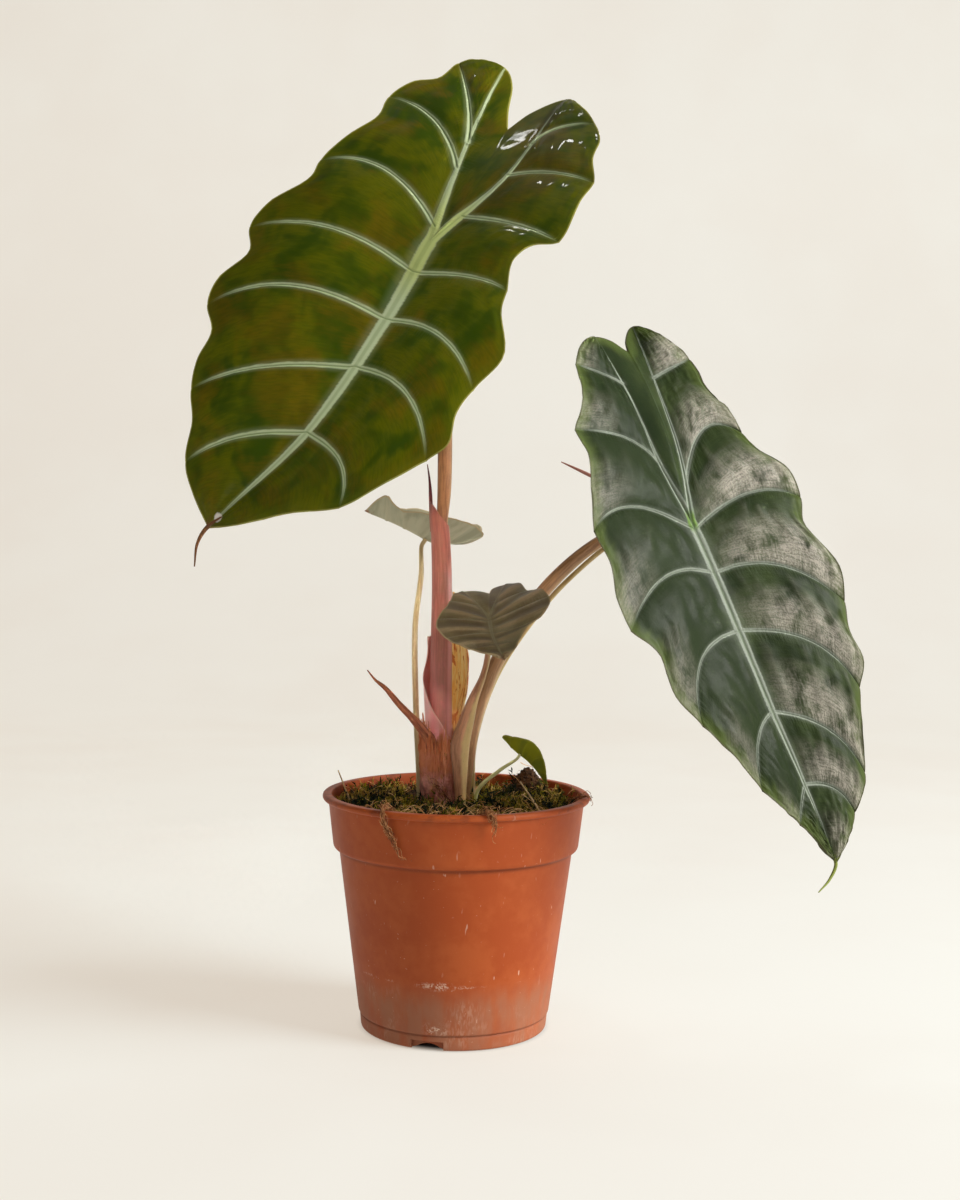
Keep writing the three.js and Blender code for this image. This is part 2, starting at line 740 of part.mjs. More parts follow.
function soilTop(x, y, edge) {
  const waves = 1.1 * Math.sin(0.31 * x + 1.3) * Math.cos(0.27 * y - 0.4);
  const swells = 0.9 * Math.sin(0.19 * x - 0.33 * y + 2.1);
  const lumps = 0.7 * Math.sin(0.83 * x + 0.5) * Math.sin(0.77 * y + 1.9);
  const away = Math.hypot(x - CLOD.x, y - CLOD.y) / CLOD.spread;
  return SOIL_Z + (waves + swells + lumps) * (edge ? 0.4 : 1) + CLOD.height * Math.exp(-away * away / 2);
}

function soil(holes) {
  const [mouth, ...wall] = POT_INSIDE;
  const topRadius = THREE.MathUtils.mapLinear(SOIL_Z, wall[0][1], mouth[1], wall[0][0], mouth[0]) - GAP;
  const points = [new THREE.Vector3(0, 0, soilTop(0, 0))];
  const rings = SOIL_RINGS.map((share) => [share * topRadius, null]);
  rings.push(...wall.map(([radius, z]) => [radius - GAP, z === POT_FLOOR_Z ? z + GAP : z]));
  for (const [radius, z] of rings) {
    for (let side = 0; side < SOIL_SIDES; side++) {
      const turn = (2 * Math.PI * side) / SOIL_SIDES;
      const [x, y] = [radius * Math.cos(turn), radius * Math.sin(turn)];
      points.push(new THREE.Vector3(x, y, z ?? soilTop(x, y, radius === topRadius)));
    }
  }
  points.push(new THREE.Vector3(0, 0, POT_FLOOR_Z + GAP));
  const triangles = [];
  const at = (ring, side) => 1 + ring * SOIL_SIDES + (side % SOIL_SIDES);
  for (let side = 0; side < SOIL_SIDES; side++) {
    triangles.push([0, at(0, side), at(0, side + 1)]);
    triangles.push([points.length - 1, at(rings.length - 1, side + 1), at(rings.length - 1, side)]);
    for (let ring = 0; ring < rings.length - 1; ring++) {
      triangles.push([at(ring, side), at(ring + 1, side), at(ring + 1, side + 1)]);
      triangles.push([at(ring, side), at(ring + 1, side + 1), at(ring, side + 1)]);
    }
  }
  const filling = solid(closedGeometry(points, triangles));
  return geometryOf(holes.reduce((body, hole) => body.subtract(hole), filling));
}

// The rootstock: a short fibrous stump, wrapped in old leaf bases, that stands in the peat.
const STUMP = [
  [-8, 2.5, 86, 7.5],
  [-8, 2.5, 94, 7.6],
  [-8.2, 2.5, 102, 7.4],
  [-8.6, 2, 110, 8],
  [-8.8, 2, 118, 8.3],
  [-9.1, 2, 124, 7.4],
  [-9.3, 2, 128, 6.4],
];

// Sheaths wrap the tall petiole. Each row is [z, radius, from, to], in degrees seen from above, counted
// from the viewer's left round the front.
const sheathAxis = (z) => [-7.8 - 0.0011 * Math.max(0, z - 190) ** 2, 2.5];

function sheath(rows, columns, steps) {
  const across = (share) => {
    const place = share * (rows.length - 1);
    const before = Math.min(Math.floor(place), rows.length - 2);
    return rows[before].map((value, n) => THREE.MathUtils.lerp(value, rows[before + 1][n], place - before));
  };
  const layers = [SHEATH_THICKNESS, 0].map((wall) => {
    const points = [];
    for (let step = 0; step <= steps; step++) {
      const [z, radius, from, to, lean = 0] = across(step / steps);
      for (let column = 0; column <= columns; column++) {
        const turn = THREE.MathUtils.degToRad(180 + THREE.MathUtils.lerp(from, to, column / columns));
        const [x, y] = sheathAxis(z);
        const reach = radius - SHEATH_THICKNESS + wall;
        const height = z - lean * Math.cos(turn);
        points.push(new THREE.Vector3(x + reach * Math.cos(turn), y + reach * Math.sin(turn), height));
      }
    }
    return points;
  });
  const triangles = [];
  for (let step = 0; step < steps; step++) {
    for (let column = 0; column < columns; column++) {
      const a = step * (columns + 1) + column;
      const b = a + columns + 1;
      triangles.push([a, a + 1, b + 1], [a, b + 1, b]);
    }
  }
  return closedSheet(...layers, triangles);
}

const INNER_SHEATH = [
  [128.7, 5.4, -178, 178, 0],
  [150, 5.1, -178, 178, 0],
  [169, 4.9, -178, 178, 0],
  [190, 4.6, -178, 178, 0],
  [212, 4.5, -178, 178, 2],
  [230, 4.5, -178, 178, 5.5],
];
const OUTER_SHEATH = [
  [128.7, 6.9, -150, 130],
  [136, 6.9, -140, 98],
  [144, 7.3, -130, 55],
  [151, 7.7, -120, 22],
  [157, 7.9, -90, 10],
  [166, 6.6, -70, 4],
  [175, 6, -40, 0],
];
const SHEATH_POINT = [
  [-13.2, 2.5, 229, 0.5],
  [-13.4, 2.5, 236, 0.8],
  [-14, 2.4, 244.5, 0.55],
  [-15.1, 2.2, 252, 0.3],
];
const DRY_CATAPHYLL = [
  [128.7, 8.4, 150, 250],
  [142, 10.5, 158, 250],
  [156, 12.6, 168, 258],
  [172, 11.4, 176, 252],
  [186, 7.6, 180, 235],
  [195, 5.8, 185, 215],
];

const WITHERED_SPIKE = [
  [-12.6, -4.4, 129.6, 1.9, 1.2],
  [-15.2, -6.2, 133, 1.7, 1.1],
  [-20, -8, 139, 1.5, 0.9],
  [-25.5, -9.5, 145, 1.2, 0.8],
  [-32, -11, 152.8, 0.9, 0.6],
  [-36.5, -12, 156.6, 0.5],
  [-40, -12, 160.7, 0.3],
];

// Old roots that hang over the lip, and dry straws in the moss.
const rimPoint = (degrees, radius, z, size) => {
  const turn = THREE.MathUtils.degToRad(degrees);
  return [radius * Math.sin(turn), -radius * Math.cos(turn), z, size];
};
const ROOT_STRAND = [
  rimPoint(-30, 44, 100, 0.9),
  rimPoint(-31, 50, 103, 1.1),
  rimPoint(-31, 56, 106.8, 1.2),
  rimPoint(-30, 60.5, 106, 1.3),
  rimPoint(-29, 61.9, 102, 1.3),
  rimPoint(-28, 60.4, 98, 1.2),
  rimPoint(-26, 58.6, 92, 1),
  rimPoint(-23, 58.2, 86.6, 0.8),
  rimPoint(-19, 57.6, 84.5, 0.6),
];
const LEFT_STRAW = [
  [-45, 0, 94, 0.5],
  [-49, 3, 102, 0.45],
  [-54, 7, 113, 0.35],
];
const RIGHT_STRAW = [
  [39.5, -31, 95, 0.5],
  [35, -27, 104, 0.45],
  [28, -21, 113.5, 0.35],
];

const STUMP_SIDES = 14;
const petiolesInSoil = ["arching", "back", "front", "rear", "seedling"].map((name) => PETIOLES[name]);
const standing = [STUMP, ...petiolesInSoil, LEFT_STRAW, RIGHT_STRAW];
const soilHoles = standing.map((stations) => stemHole(stations, STUMP_SIDES));
const rootstock = solid(stem(STUMP, 12, STUMP_SIDES)).subtract(stemHole(PETIOLES.tall, 8));

const innerSheath = solid(sheath(INNER_SHEATH, 14, 10)).add(solid(stem(SHEATH_POINT, 6, 4)));

add("pot", pot(), FINISHES.plastic);
add("soil", soil(soilHoles), FINISHES.peat);
add("rootstock", geometryOf(rootstock), FINISHES.root);
add("sheath_inner", geometryOf(innerSheath), FINISHES.pink);
add("sheath_outer", sheath(OUTER_SHEATH, 10, 10), FINISHES.pink);
add("cataphyll_dry", sheath(DRY_CATAPHYLL, 5, 10), FINISHES.papery);
add("spike_withered", stem(WITHERED_SPIKE, 12, 5), FINISHES.withered);
add("root_strand", stem(ROOT_STRAND, 16, 5), FINISHES.root);
add("straw_left", stem(LEFT_STRAW, 3, 4), FINISHES.straw);
add("straw_right", stem(RIGHT_STRAW, 3, 4), FINISHES.straw);
add("blade_tall", blade(tallLeaf), FINISHES.olive);
add("blade_arching", blade(archingLeaf), FINISHES.dark);
add("blade_back", blade(backLeaf), FINISHES.grey);
add("blade_front", blade(frontLeaf), FINISHES.brown);
add("blade_rear", blade(rearLeaf), FINISHES.grey);
add("blade_seedling", blade(seedlingLeaf), FINISHES.seedling);
add("petiole_tall", stem(PETIOLES.tall, 16, 8), FINISHES.petiole);
add("petiole_arching", stem(PETIOLES.arching, 18, 8), FINISHES.petiole);
add("petiole_back", stem(PETIOLES.back, 14, 6), FINISHES.paleStem);
add("petiole_front", stem(PETIOLES.front, 14, 8), FINISHES.petiole);
add("petiole_rear", stem(PETIOLES.rear, 16, 6), FINISHES.paleStem);
add("petiole_seedling", stem(PETIOLES.seedling, 8, 6), FINISHES.paleStem);

export default plant;
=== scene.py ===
# A potted Alocasia chantrieri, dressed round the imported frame. Blender counts in metres. The sizes in
# this script are millimetres, turned to metres by MM where a mesh, a node or a lamp is made.
import math
import bmesh
import bpy
import numpy as np
from mathutils import Matrix, Vector, noise
from mathutils.kdtree import KDTree


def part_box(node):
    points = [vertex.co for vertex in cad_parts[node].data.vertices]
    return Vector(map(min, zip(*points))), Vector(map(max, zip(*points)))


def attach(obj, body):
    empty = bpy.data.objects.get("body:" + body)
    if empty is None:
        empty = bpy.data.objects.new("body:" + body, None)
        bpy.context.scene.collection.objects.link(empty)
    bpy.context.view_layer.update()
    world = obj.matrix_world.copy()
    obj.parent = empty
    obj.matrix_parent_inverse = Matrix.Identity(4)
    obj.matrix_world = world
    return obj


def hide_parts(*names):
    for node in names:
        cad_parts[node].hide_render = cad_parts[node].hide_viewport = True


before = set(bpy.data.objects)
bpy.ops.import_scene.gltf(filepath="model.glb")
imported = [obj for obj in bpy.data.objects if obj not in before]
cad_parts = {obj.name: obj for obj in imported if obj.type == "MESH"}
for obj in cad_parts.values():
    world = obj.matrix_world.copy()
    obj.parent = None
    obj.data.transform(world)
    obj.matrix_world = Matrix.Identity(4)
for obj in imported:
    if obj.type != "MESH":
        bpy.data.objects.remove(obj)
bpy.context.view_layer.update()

# The pot
# One thin moulding of terracotta-coloured polypropylene, as growers use: a rolled lip on a deep collar, a
# tapering wall and a foot ring with drain notches. Hard water has left lime on its foot and spots above it.
MM = 0.001
POT_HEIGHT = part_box("pot")[1].z / MM
LIP_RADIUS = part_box("pot")[1].x / MM
COLLAR_TOP_RADIUS = 57.3
COLLAR_FOOT_RADIUS = 55.1
COLLAR_FOOT_Z = POT_HEIGHT - 24.6
WALL_TOP_RADIUS = 52.3
BASE_RADIUS = 41.4
POT_WALL = 1.3
POT_FLOOR_Z = 5
FOOT_GROOVE_Z = 6.4
POT_SIDES = 192
POT_CORNER_RADIUS = 0.7
NOTCH_TURNS = [-105, 15, 135]
NOTCH_OUT = BASE_RADIUS + 1.5
NOTCH_DEPTH = 8
NOTCH_WIDTH = 14.5
NOTCH_HEIGHT = 3.9
DRAIN_RADIUS = 4
DRAIN_OUT = 28
LIME_LINE_Z = 29
FRONT_SCUFF_X = -6
POT_OUTLINE = [
    (0, 0),
    (14, 0),
    (15.5, 3.6),
    (38.6, 3.6),
    (39.4, 0),
    (BASE_RADIUS, 0),
    (BASE_RADIUS + 0.4, 0.6),
    (BASE_RADIUS + 0.9, FOOT_GROOVE_Z - 0.7),
    (BASE_RADIUS + 0.5, FOOT_GROOVE_Z),
    (BASE_RADIUS + 1.5, FOOT_GROOVE_Z + 0.7),
    (WALL_TOP_RADIUS, COLLAR_FOOT_Z - 1.2),
    (WALL_TOP_RADIUS + 0.2, COLLAR_FOOT_Z - 0.3),
    (COLLAR_FOOT_RADIUS - 0.5, COLLAR_FOOT_Z + 0.6),
    (COLLAR_FOOT_RADIUS, COLLAR_FOOT_Z + 1.7),
    (COLLAR_TOP_RADIUS, POT_HEIGHT - 4),
    (COLLAR_TOP_RADIUS + 0.1, POT_HEIGHT - 3.1),
    (LIP_RADIUS - 0.7, POT_HEIGHT - 2.8),
    (LIP_RADIUS, POT_HEIGHT - 2),
    (LIP_RADIUS, POT_HEIGHT - 0.8),
    (LIP_RADIUS - 0.8, POT_HEIGHT),
    (COLLAR_TOP_RADIUS - POT_WALL, POT_HEIGHT),
    (COLLAR_TOP_RADIUS - 0.3 - POT_WALL, POT_HEIGHT - 3),
    (COLLAR_FOOT_RADIUS - POT_WALL, COLLAR_FOOT_Z + 1.8),
    (WALL_TOP_RADIUS - POT_WALL, COLLAR_FOOT_Z - 0.6),
    (BASE_RADIUS + 0.8 - POT_WALL, POT_FLOOR_Z),
    (15, POT_FLOOR_Z),
    (13.5, 1.4),
    (0, 1.4),
]


def rounded(outline, radius, steps=3):
    """An outline with each of its corners drawn as a small curve."""
    corners = np.asarray(outline, float)
    points = [corners[0]]
    for before, corner, after in zip(corners, corners[1:], corners[2:]):
        back, onward = before - corner, after - corner
        start = corner + back * min(radius / np.linalg.norm(back), 0.45)
        end = corner + onward * min(radius / np.linalg.norm(onward), 0.45)
        for share in np.linspace(0, 1, steps + 1):
            points.append((1 - share) ** 2 * start + 2 * share * (1 - share) * corner + share**2 * end)
    points.append(corners[-1])
    return np.array(points)


def ring_faces(rings, sides, start=0):
    """The faces between neighbouring rings of vertices, closed round each ring."""
    side = np.arange(sides)
    beside = (side + 1) % sides
    faces = []
    for ring in range(rings - 1):
        low = start + ring * sides
        high = low + sides
        faces += np.stack([low + side, low + beside, high + beside, high + side], axis=1).tolist()
    return faces


def level_ring(radius, z, sides):
    """A ring of vertices round the pot's axis at one height."""
    turns = np.linspace(0, 2 * np.pi, sides, endpoint=False)
    return np.stack([radius * np.cos(turns), radius * np.sin(turns), np.full(sides, z)], axis=1)


def closed_rings(first_z, rings, last_z):
    """A closed mesh of rings, with a point on the pot's axis at either end."""
    sides = len(rings[0])
    points = np.vstack([[(0, 0, first_z)], *rings, [(0, 0, last_z)]])
    faces = ring_faces(len(rings), sides, 1)
    last = len(points) - 1
    for side in range(sides):
        beside = (side + 1) % sides
        faces.append([0, 1 + beside, 1 + side])
        faces.append([last, last - sides + side, last - sides + beside])
    return points, faces


def piece_of(name, points, faces, marks=None, streaks=None, crease=40):
    """An object of a closed mesh given in millimetres. Marks are values that its finish reads at each
    vertex, and streaks are a place at each corner of each face, kept as a UV map."""
    points = np.asarray(points, float)
    volume = 0
    for second, third in ((1, 2), (2, 3)):
        whole = [face for face in faces if len(face) > third]
        if whole:
            fan = points[np.array([[face[0], face[second], face[third]] for face in whole])]
            volume += np.einsum("ij,ij->", fan[:, 0], np.cross(fan[:, 1], fan[:, 2]))
    if volume < 0:
        faces = [face[::-1] for face in faces]
        streaks = streaks and [corners[::-1] for corners in streaks]
    mesh = bpy.data.meshes.new(name)
    mesh.from_pydata((points * MM).tolist(), [], faces)
    for mark, values in (marks or {}).items():
        kind = "FLOAT_VECTOR" if np.ndim(values) == 2 else "FLOAT"
        attribute = mesh.attributes.new(mark, kind, "POINT")
        field = "vector" if kind == "FLOAT_VECTOR" else "value"
        attribute.data.foreach_set(field, np.asarray(values, np.float32).ravel())
    if streaks:
        layer = mesh.uv_layers.new(name="streak")
        layer.data.foreach_set("uv", np.concatenate([np.ravel(corners) for corners in streaks]))
    mesh.shade_smooth()
    mesh.set_sharp_from_angle(angle=math.radians(crease))
    piece = bpy.data.objects.new(name, mesh)
    bpy.context.scene.collection.objects.link(piece)
    return piece


def bare_mesh(piece):
    """Applies a piece's modifiers and takes them off it."""
    evaluated = piece.evaluated_get(bpy.context.evaluated_depsgraph_get())
    mesh = bpy.data.meshes.new_from_object(evaluated)
    piece.modifiers.clear()
    piece.data = mesh


def cut_away(piece, cutter):
    """Subtracts a cutter from a piece and removes it."""
    boolean = piece.modifiers.new("cut", "BOOLEAN")
    boolean.operation = "DIFFERENCE"
    boolean.solver = "EXACT"
    boolean.object = cutter
    bare_mesh(piece)
    bpy.data.objects.remove(cutter)


def feed(socket, value):
    """Sets a node's input to a plain value, or links it to what another node puts out."""
    value = value.socket if isinstance(value, Value) else value
    if isinstance(value, bpy.types.NodeSocket):
        socket.id_data.links.new(value, socket)
    else:
        socket.default_value = value


class Inputs:
    """The inputs of a shader or of a group's end, each set like an item of a dictionary."""

    def __init__(self, sockets):
        self.sockets = sockets

    def __setitem__(self, name, value):
        feed(self.sockets[name], value)


class Recipe:
    """Adds nodes to a tree. Inputs are plain values or what other nodes put out."""

    def __init__(self, tree):
        self.tree = tree

    def node(self, kind, inputs=(), output=0, **settings):
        """Adds one node and returns one of the things that it puts out."""
        node = self.tree.nodes.new(kind)
        for setting, value in settings.items():
            setattr(node, setting, value)
        for socket, value in dict(inputs).items():
            feed(node.inputs[socket], value)
        return Value(node.outputs[output])

    def place(self):
        """The place on the object, in millimetres."""
        here = self.node("ShaderNodeTexCoord", output="Object")
        return self.node("ShaderNodeVectorMath", {0: here, "Scale": 1 / MM}, operation="SCALE")

    def mark(self, name, output="Fac"):
        """A value that the mesh carries at each vertex."""
        return self.node("ShaderNodeAttribute", output=output, attribute_name=name)

    def use(self, effect, inputs):
        """Places a shared effect and returns what it puts out."""
        node = self.tree.nodes.new("ShaderNodeGroup")
        node.node_tree = effect
        for socket, value in inputs.items():
            feed(node.inputs[socket], value)
        return {socket.name: Value(socket) for socket in node.outputs}


class Value:
    """What a node puts out: a number, a colour or a place. Each sum or method adds a node after it."""

    def __init__(self, socket):
        self.socket = socket

    def node(self, kind, inputs, output=0, **settings):
        """Adds one node to the tree of this one."""
        return Recipe(self.socket.id_data).node(kind, inputs, output, **settings)

    def math(self, operation, other=0.0):
        """What a kind of sum makes of this value and another."""
        return self.node("ShaderNodeMath", {0: self, 1: other}, operation=operation)

    def __add__(self, other):
        return self.math("ADD", other)

    def __mul__(self, other):
        return self.math("MULTIPLY", other)

    def __sub__(self, other):
        return self.math("SUBTRACT", other)

    def __truediv__(self, other):
        return self.math("DIVIDE", other)

    def __rsub__(self, other):
        return self.node("ShaderNodeMath", {0: other, 1: self}, operation="SUBTRACT")

    def __rtruediv__(self, other):
        return self.node("ShaderNodeMath", {0: other, 1: self}, operation="DIVIDE")

    __radd__ = __add__
    __rmul__ = __mul__

    def fade(self, start, end, low=0.0, high=1.0):
        """Runs smoothly from low to high as the value goes from start to end."""
        limits = {0: self, 1: start, 2: end, 3: low, 4: high}
        if start > end:
            limits.update({1: end, 2: start, 3: high, 4: low})
        return self.node("ShaderNodeMapRange", limits, interpolation_type="SMOOTHSTEP")

    def peak(self, centre, width):
        """1 where the value is at the centre, and 0 a width away from it."""
        return (self - centre).math("ABSOLUTE").fade(width, 0.0)

    def blend(self, first, second):
        """A colour between two, with this value as the share of the second."""
        return self.node("ShaderNodeMix", {0: self, 6: first, 7: second}, 2, data_type="RGBA")

    def stretched(self, x, y, z):
        """A place with each of its directions divided by a length."""
        return self.node("ShaderNodeVectorMath", {0: self, 1: (1 / x, 1 / y, 1 / z)}, operation="MULTIPLY")

    def speckle(self, size, detail=2.0, wander=0.0):
        """Noise over a place, from 0 to 1 and around 0.5, with lumps of that size."""
        inputs = {"Vector": self, "Scale": 1 / size, "Detail": detail, "Distortion": wander}
        return self.node("ShaderNodeTexNoise", inputs)

    def parts(self):
        """The x, y and z of a place."""
        split = self.node("ShaderNodeSeparateXYZ", {0: self}).socket.node
        return [Value(socket) for socket in split.outputs]

    def relief(self, depth):
        """A normal for a height from 0 to 1, with that many millimetres between its low and its high."""
        return self.node("ShaderNodeBump", {"Strength": 1.0, "Distance": depth * MM, "Height": self})


def colour(red, green, blue):
    """A colour as a screen shows it, from 0 to 255, in the linear values that Blender mixes."""
    shares = [value / 255 for value in (red, green, blue)]
    linear = [share / 12.92 if share < 0.04045 else ((share + 0.055) / 1.055) ** 2.4 for share in shares]
    return (*linear, 1.0)


def new_finish(name, **sockets):
    """A material, the recipe for its nodes and the inputs of its shader."""
    material = bpy.data.materials.new(name)
    material.use_nodes = True
    shader = material.node_tree.nodes["Principled BSDF"]
    for socket, value in sockets.items():
        shader.inputs[socket.replace("_", " ")].default_value = value
    return material, Recipe(material.node_tree), Inputs(shader.inputs)


def new_tree(name, kind, inputs, outputs):
    """A node group: its tree, its recipe, what comes in and what goes out. A socket's kind is the end of
    its type's name."""
    tree = bpy.data.node_groups.new(name, kind)
    for way, sockets in (("INPUT", inputs), ("OUTPUT", outputs)):
        for socket, ending in sockets.items():
            tree.interface.new_socket(socket, in_out=way, socket_type="NodeSocket" + ending)
    given = {socket.name: Value(socket) for socket in tree.nodes.new("NodeGroupInput").outputs}
    return tree, Recipe(tree), given, Inputs(tree.nodes.new("NodeGroupOutput").inputs)


def new_effect(name, numbers, colours, places, outputs):
    """A shader node group, from the names of its inputs by kind, parted by commas."""
    inputs = {socket: kind for names, kind in ((numbers, "Float"), (colours, "Color"), (places, "Vector"))
              for socket in names.split(", ")}
    return new_tree(name, "ShaderNodeTree", inputs, outputs)


# Uneven colour at two sizes, as on anything grown, weathered or dusty. Its share says how much of the
# other colour it takes in.
mottle, recipe, given, out = new_effect(
    "mottle", "Size, Share", "Main, Other", "Place", {"Color": "Color", "Mask": "Float"})
broad = given["Place"].speckle(given["Size"], 3.0)
fine = recipe.node("ShaderNodeTexNoise", {
    "Vector": given["Place"], "Scale": 6.0 / given["Size"], "Detail": 2.0})
uneven = broad * 0.7 + fine * 0.3
mask = uneven.fade(0.4, 0.62)
out["Mask"] = mask
out["Color"] = (mask * given["Share"]).blend(given["Main"], given["Other"])

outline = rounded(POT_OUTLINE, POT_CORNER_RADIUS)
pot_rings = [level_ring(radius, z, POT_SIDES) for radius, z in outline[1:-1]]
pot = piece_of("pot_moulding", *closed_rings(outline[0][1], pot_rings, outline[-1][1]))
for turn in NOTCH_TURNS:
    facing = Matrix.Rotation(math.radians(turn), 4, "Z")
    notch = bmesh.new()
    bmesh.ops.create_cube(notch, size=1)
    at_foot = facing @ Matrix.Translation((NOTCH_OUT * MM, 0, 0))
    as_block = Matrix.Diagonal((NOTCH_DEPTH * MM, NOTCH_WIDTH * MM, 2 * NOTCH_HEIGHT * MM, 1))
    bmesh.ops.transform(notch, verts=notch.verts, matrix=at_foot @ as_block)
    bmesh.ops.create_cone(notch, cap_ends=True, segments=32, radius1=DRAIN_RADIUS * MM,
                          radius2=DRAIN_RADIUS * MM, depth=4 * MM,
                          matrix=facing @ Matrix.Translation((DRAIN_OUT * MM, 0, (POT_FLOOR_Z - 1) * MM)))
    cutter = bpy.data.objects.new("cutter", bpy.data.meshes.new("cutter"))
    notch.to_mesh(cutter.data)
    notch.free()
    bpy.context.scene.collection.objects.link(cutter)
    cut_away(pot, cutter)
pot.data.shade_smooth()
pot.data.set_sharp_from_angle(angle=math.radians(40))

plastic, recipe, shader = new_finish("pot_plastic", Specular_IOR_Level=0.2)
place = recipe.place()
x, y, z = place.parts()
base = recipe.use(mottle, {
    "Place": place, "Size": 26.0, "Main": colour(157, 69, 27), "Other": colour(170, 83, 38), "Share": 0.7})
# Lime: a dull film over the foot, a broken line where water stood, scuffs below it, drips and spots
# higher up.
upright = place.stretched(1.0, 1.0, 4.0)
foot = (z + upright.speckle(9.0) * 8.0).fade(LIME_LINE_Z + 6, LIME_LINE_Z - 8)
film = foot * upright.speckle(5.0, 5.0).fade(0.25, 0.65, 0.35, 1.0)
scuffed = (place.stretched(1.0, 1.0, 1.4).speckle(12.0, 4.0).fade(0.5, 0.7)
           * upright.speckle(0.8, 6.0).fade(0.44, 0.62))
line_break = place.stretched(1.0, 1.0, 2.0).speckle(12.0, 5.0).fade(0.46, 0.66)
line_fleck = place.speckle(0.7, 3.0).fade(0.4, 0.6) * place.speckle(3.2, 4.0).fade(0.4, 0.54)
front = y.fade(0.0, -BASE_RADIUS)
front_middle = x.peak(FRONT_SCUFF_X, 13.0) * front
line_marks = (line_break * 0.5).math("MAXIMUM", front_middle) * line_fleck
line_width = front_middle * 2.0 + 0.8
line_level = z + (place.speckle(5.0) + place.speckle(1.8, 4.0) * 2.4)
line_off = (line_level - (LIME_LINE_Z + 1.6)) / line_width
line = line_off.peak(0.0, 1.0) * line_marks
drips = upright.speckle(1.9, 1.0).fade(0.725, 0.77)
spots = place.speckle(1.1, 1.0).fade(0.75, 0.79)
patchy = place.speckle(18.0, 3.0).fade(0.5, 0.68)
marks = (drips + spots) * (patchy * 0.45 + 0.1)
rubbed = x.peak(FRONT_SCUFF_X - 1, 7.0) * z.peak(FOOT_GROOVE_Z + 3, 4.0) * (line_fleck * front)
scuffs = rubbed * 0.8 + foot * scuffed * 0.16
white = line * 0.9 + (marks + scuffs)
lime = white.math("MINIMUM", 0.7)
# Painted shade darkens the colour under the collar and in the groove of the foot, and soil smears lie on the
# lip.
corners = z.peak(COLLAR_FOOT_Z - 0.4, 1.6) + z.peak(FOOT_GROOVE_Z, 0.9)
smears = z.fade(POT_HEIGHT - 6, POT_HEIGHT) * place.speckle(6.0, 5.0).fade(0.52, 0.66)
shade_and_dirt = (corners * 0.5 + smears * 0.5).math("MINIMUM", 0.7)
dusty = (film * 0.75).blend(base["Color"], colour(150, 104, 80))
limed = lime.blend(dusty, colour(222, 190, 168))
shader["Base Color"] = shade_and_dirt.blend(limed, colour(92, 44, 27))
shader["Roughness"] = place.speckle(8.0, 4.0) * 0.16 + (film * 0.2 + (lime * 0.3 + 0.42))
scratches = place.stretched(9.0, 9.0, 0.5).speckle(1.0, 3.0)
orange_peel = place.speckle(0.9, 2.0) * 0.35 + scratches * 0.4
shader["Normal"] = (orange_peel + lime * 0.5).relief(0.06)
pot.data.materials.append(plastic)
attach(pot, "root")
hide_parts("pot")

# The peat
# Moist brown peat fills the pot to a few millimetres below its lip. Its top is uneven, and a clod stands
# at the back right. Moss has grown over most of it.
SOIL_Z = 98.2
SOIL_RINGS = 62
SOIL_SIDES = 230
SOIL_RADIUS = 54.5
MOSS_RADIUS = 53.6
CLOD = {"x": 34, "y": 36, "height": 12, "spread": 5.5}


def ripple(x, y, size, seed, octaves=3):
    """Smooth noise about 0 over the plan, with hills of that size."""
    return np.array([noise.fractal(Vector((a / size, b / size, seed)), 0.9, 2.1, octaves)
                     for a, b in zip(x, y)])


def soil_height(x, y):
    """The top of the peat over the plan."""
    waves = 1.1 * np.sin(0.31 * x + 1.3) * np.cos(0.27 * y - 0.4) + 0.9 * np.sin(0.19 * x - 0.33 * y + 2.1)
    lumps = 1.6 * ripple(x, y, 9, 3.1) + 0.7 * ripple(x, y, 2.6, 8.4)
    rim = np.clip((SOIL_RADIUS - np.hypot(x, y)) / 8, 0.3, 1)
    away = np.hypot(x - CLOD["x"], y - CLOD["y"]) / CLOD["spread"]
    return SOIL_Z + (waves + lumps) * rim + CLOD["height"] * np.exp(-(away**2) / 2)


radii = SOIL_RADIUS * np.linspace(0.02, 1, SOIL_RINGS)
top = np.vstack([level_ring(radius, 0.0, SOIL_SIDES) for radius in radii])
top[:, 2] = soil_height(top[:, 0], top[:, 1])
below = [
    level_ring(COLLAR_FOOT_RADIUS - POT_WALL - 0.4, COLLAR_FOOT_Z + 1.8, SOIL_SIDES),
    level_ring(WALL_TOP_RADIUS - POT_WALL - 0.4, COLLAR_FOOT_Z - 0.6, SOIL_SIDES),
    level_ring(BASE_RADIUS + 0.4 - POT_WALL, POT_FLOOR_Z + 0.3, SOIL_SIDES),
]
soil_rings = [*top.reshape(SOIL_RINGS, SOIL_SIDES, 3), *below]
points, faces = closed_rings(top[:SOIL_SIDES, 2].mean(), soil_rings, POT_FLOOR_Z + 0.3)
# The marks: how mossy a place is, how bare, and how many loose fibres lie there, most of them in front.
mossy = 0.5 + 0.9 * ripple(points[:, 0], points[:, 1], 13, 21.0, 2)
on_clod = np.exp(-((np.hypot(points[:, 0] - CLOD["x"], points[:, 1] - CLOD["y"]) / 11) ** 4))
on_top = (points[:, 2] > SOIL_Z - 6) & (np.hypot(points[:, 0], points[:, 1]) < MOSS_RADIUS)
mossy = np.clip(mossy, 0.12, 1) * (1 - on_clod) * on_top
front = np.clip((-points[:, 1] - 22) / 20, 0.12, 1)
marks = {"mossy": mossy, "bare": (1.15 - mossy) * on_top, "strewn": front * on_top}
peat = piece_of("peat", points, faces, marks, crease=80)

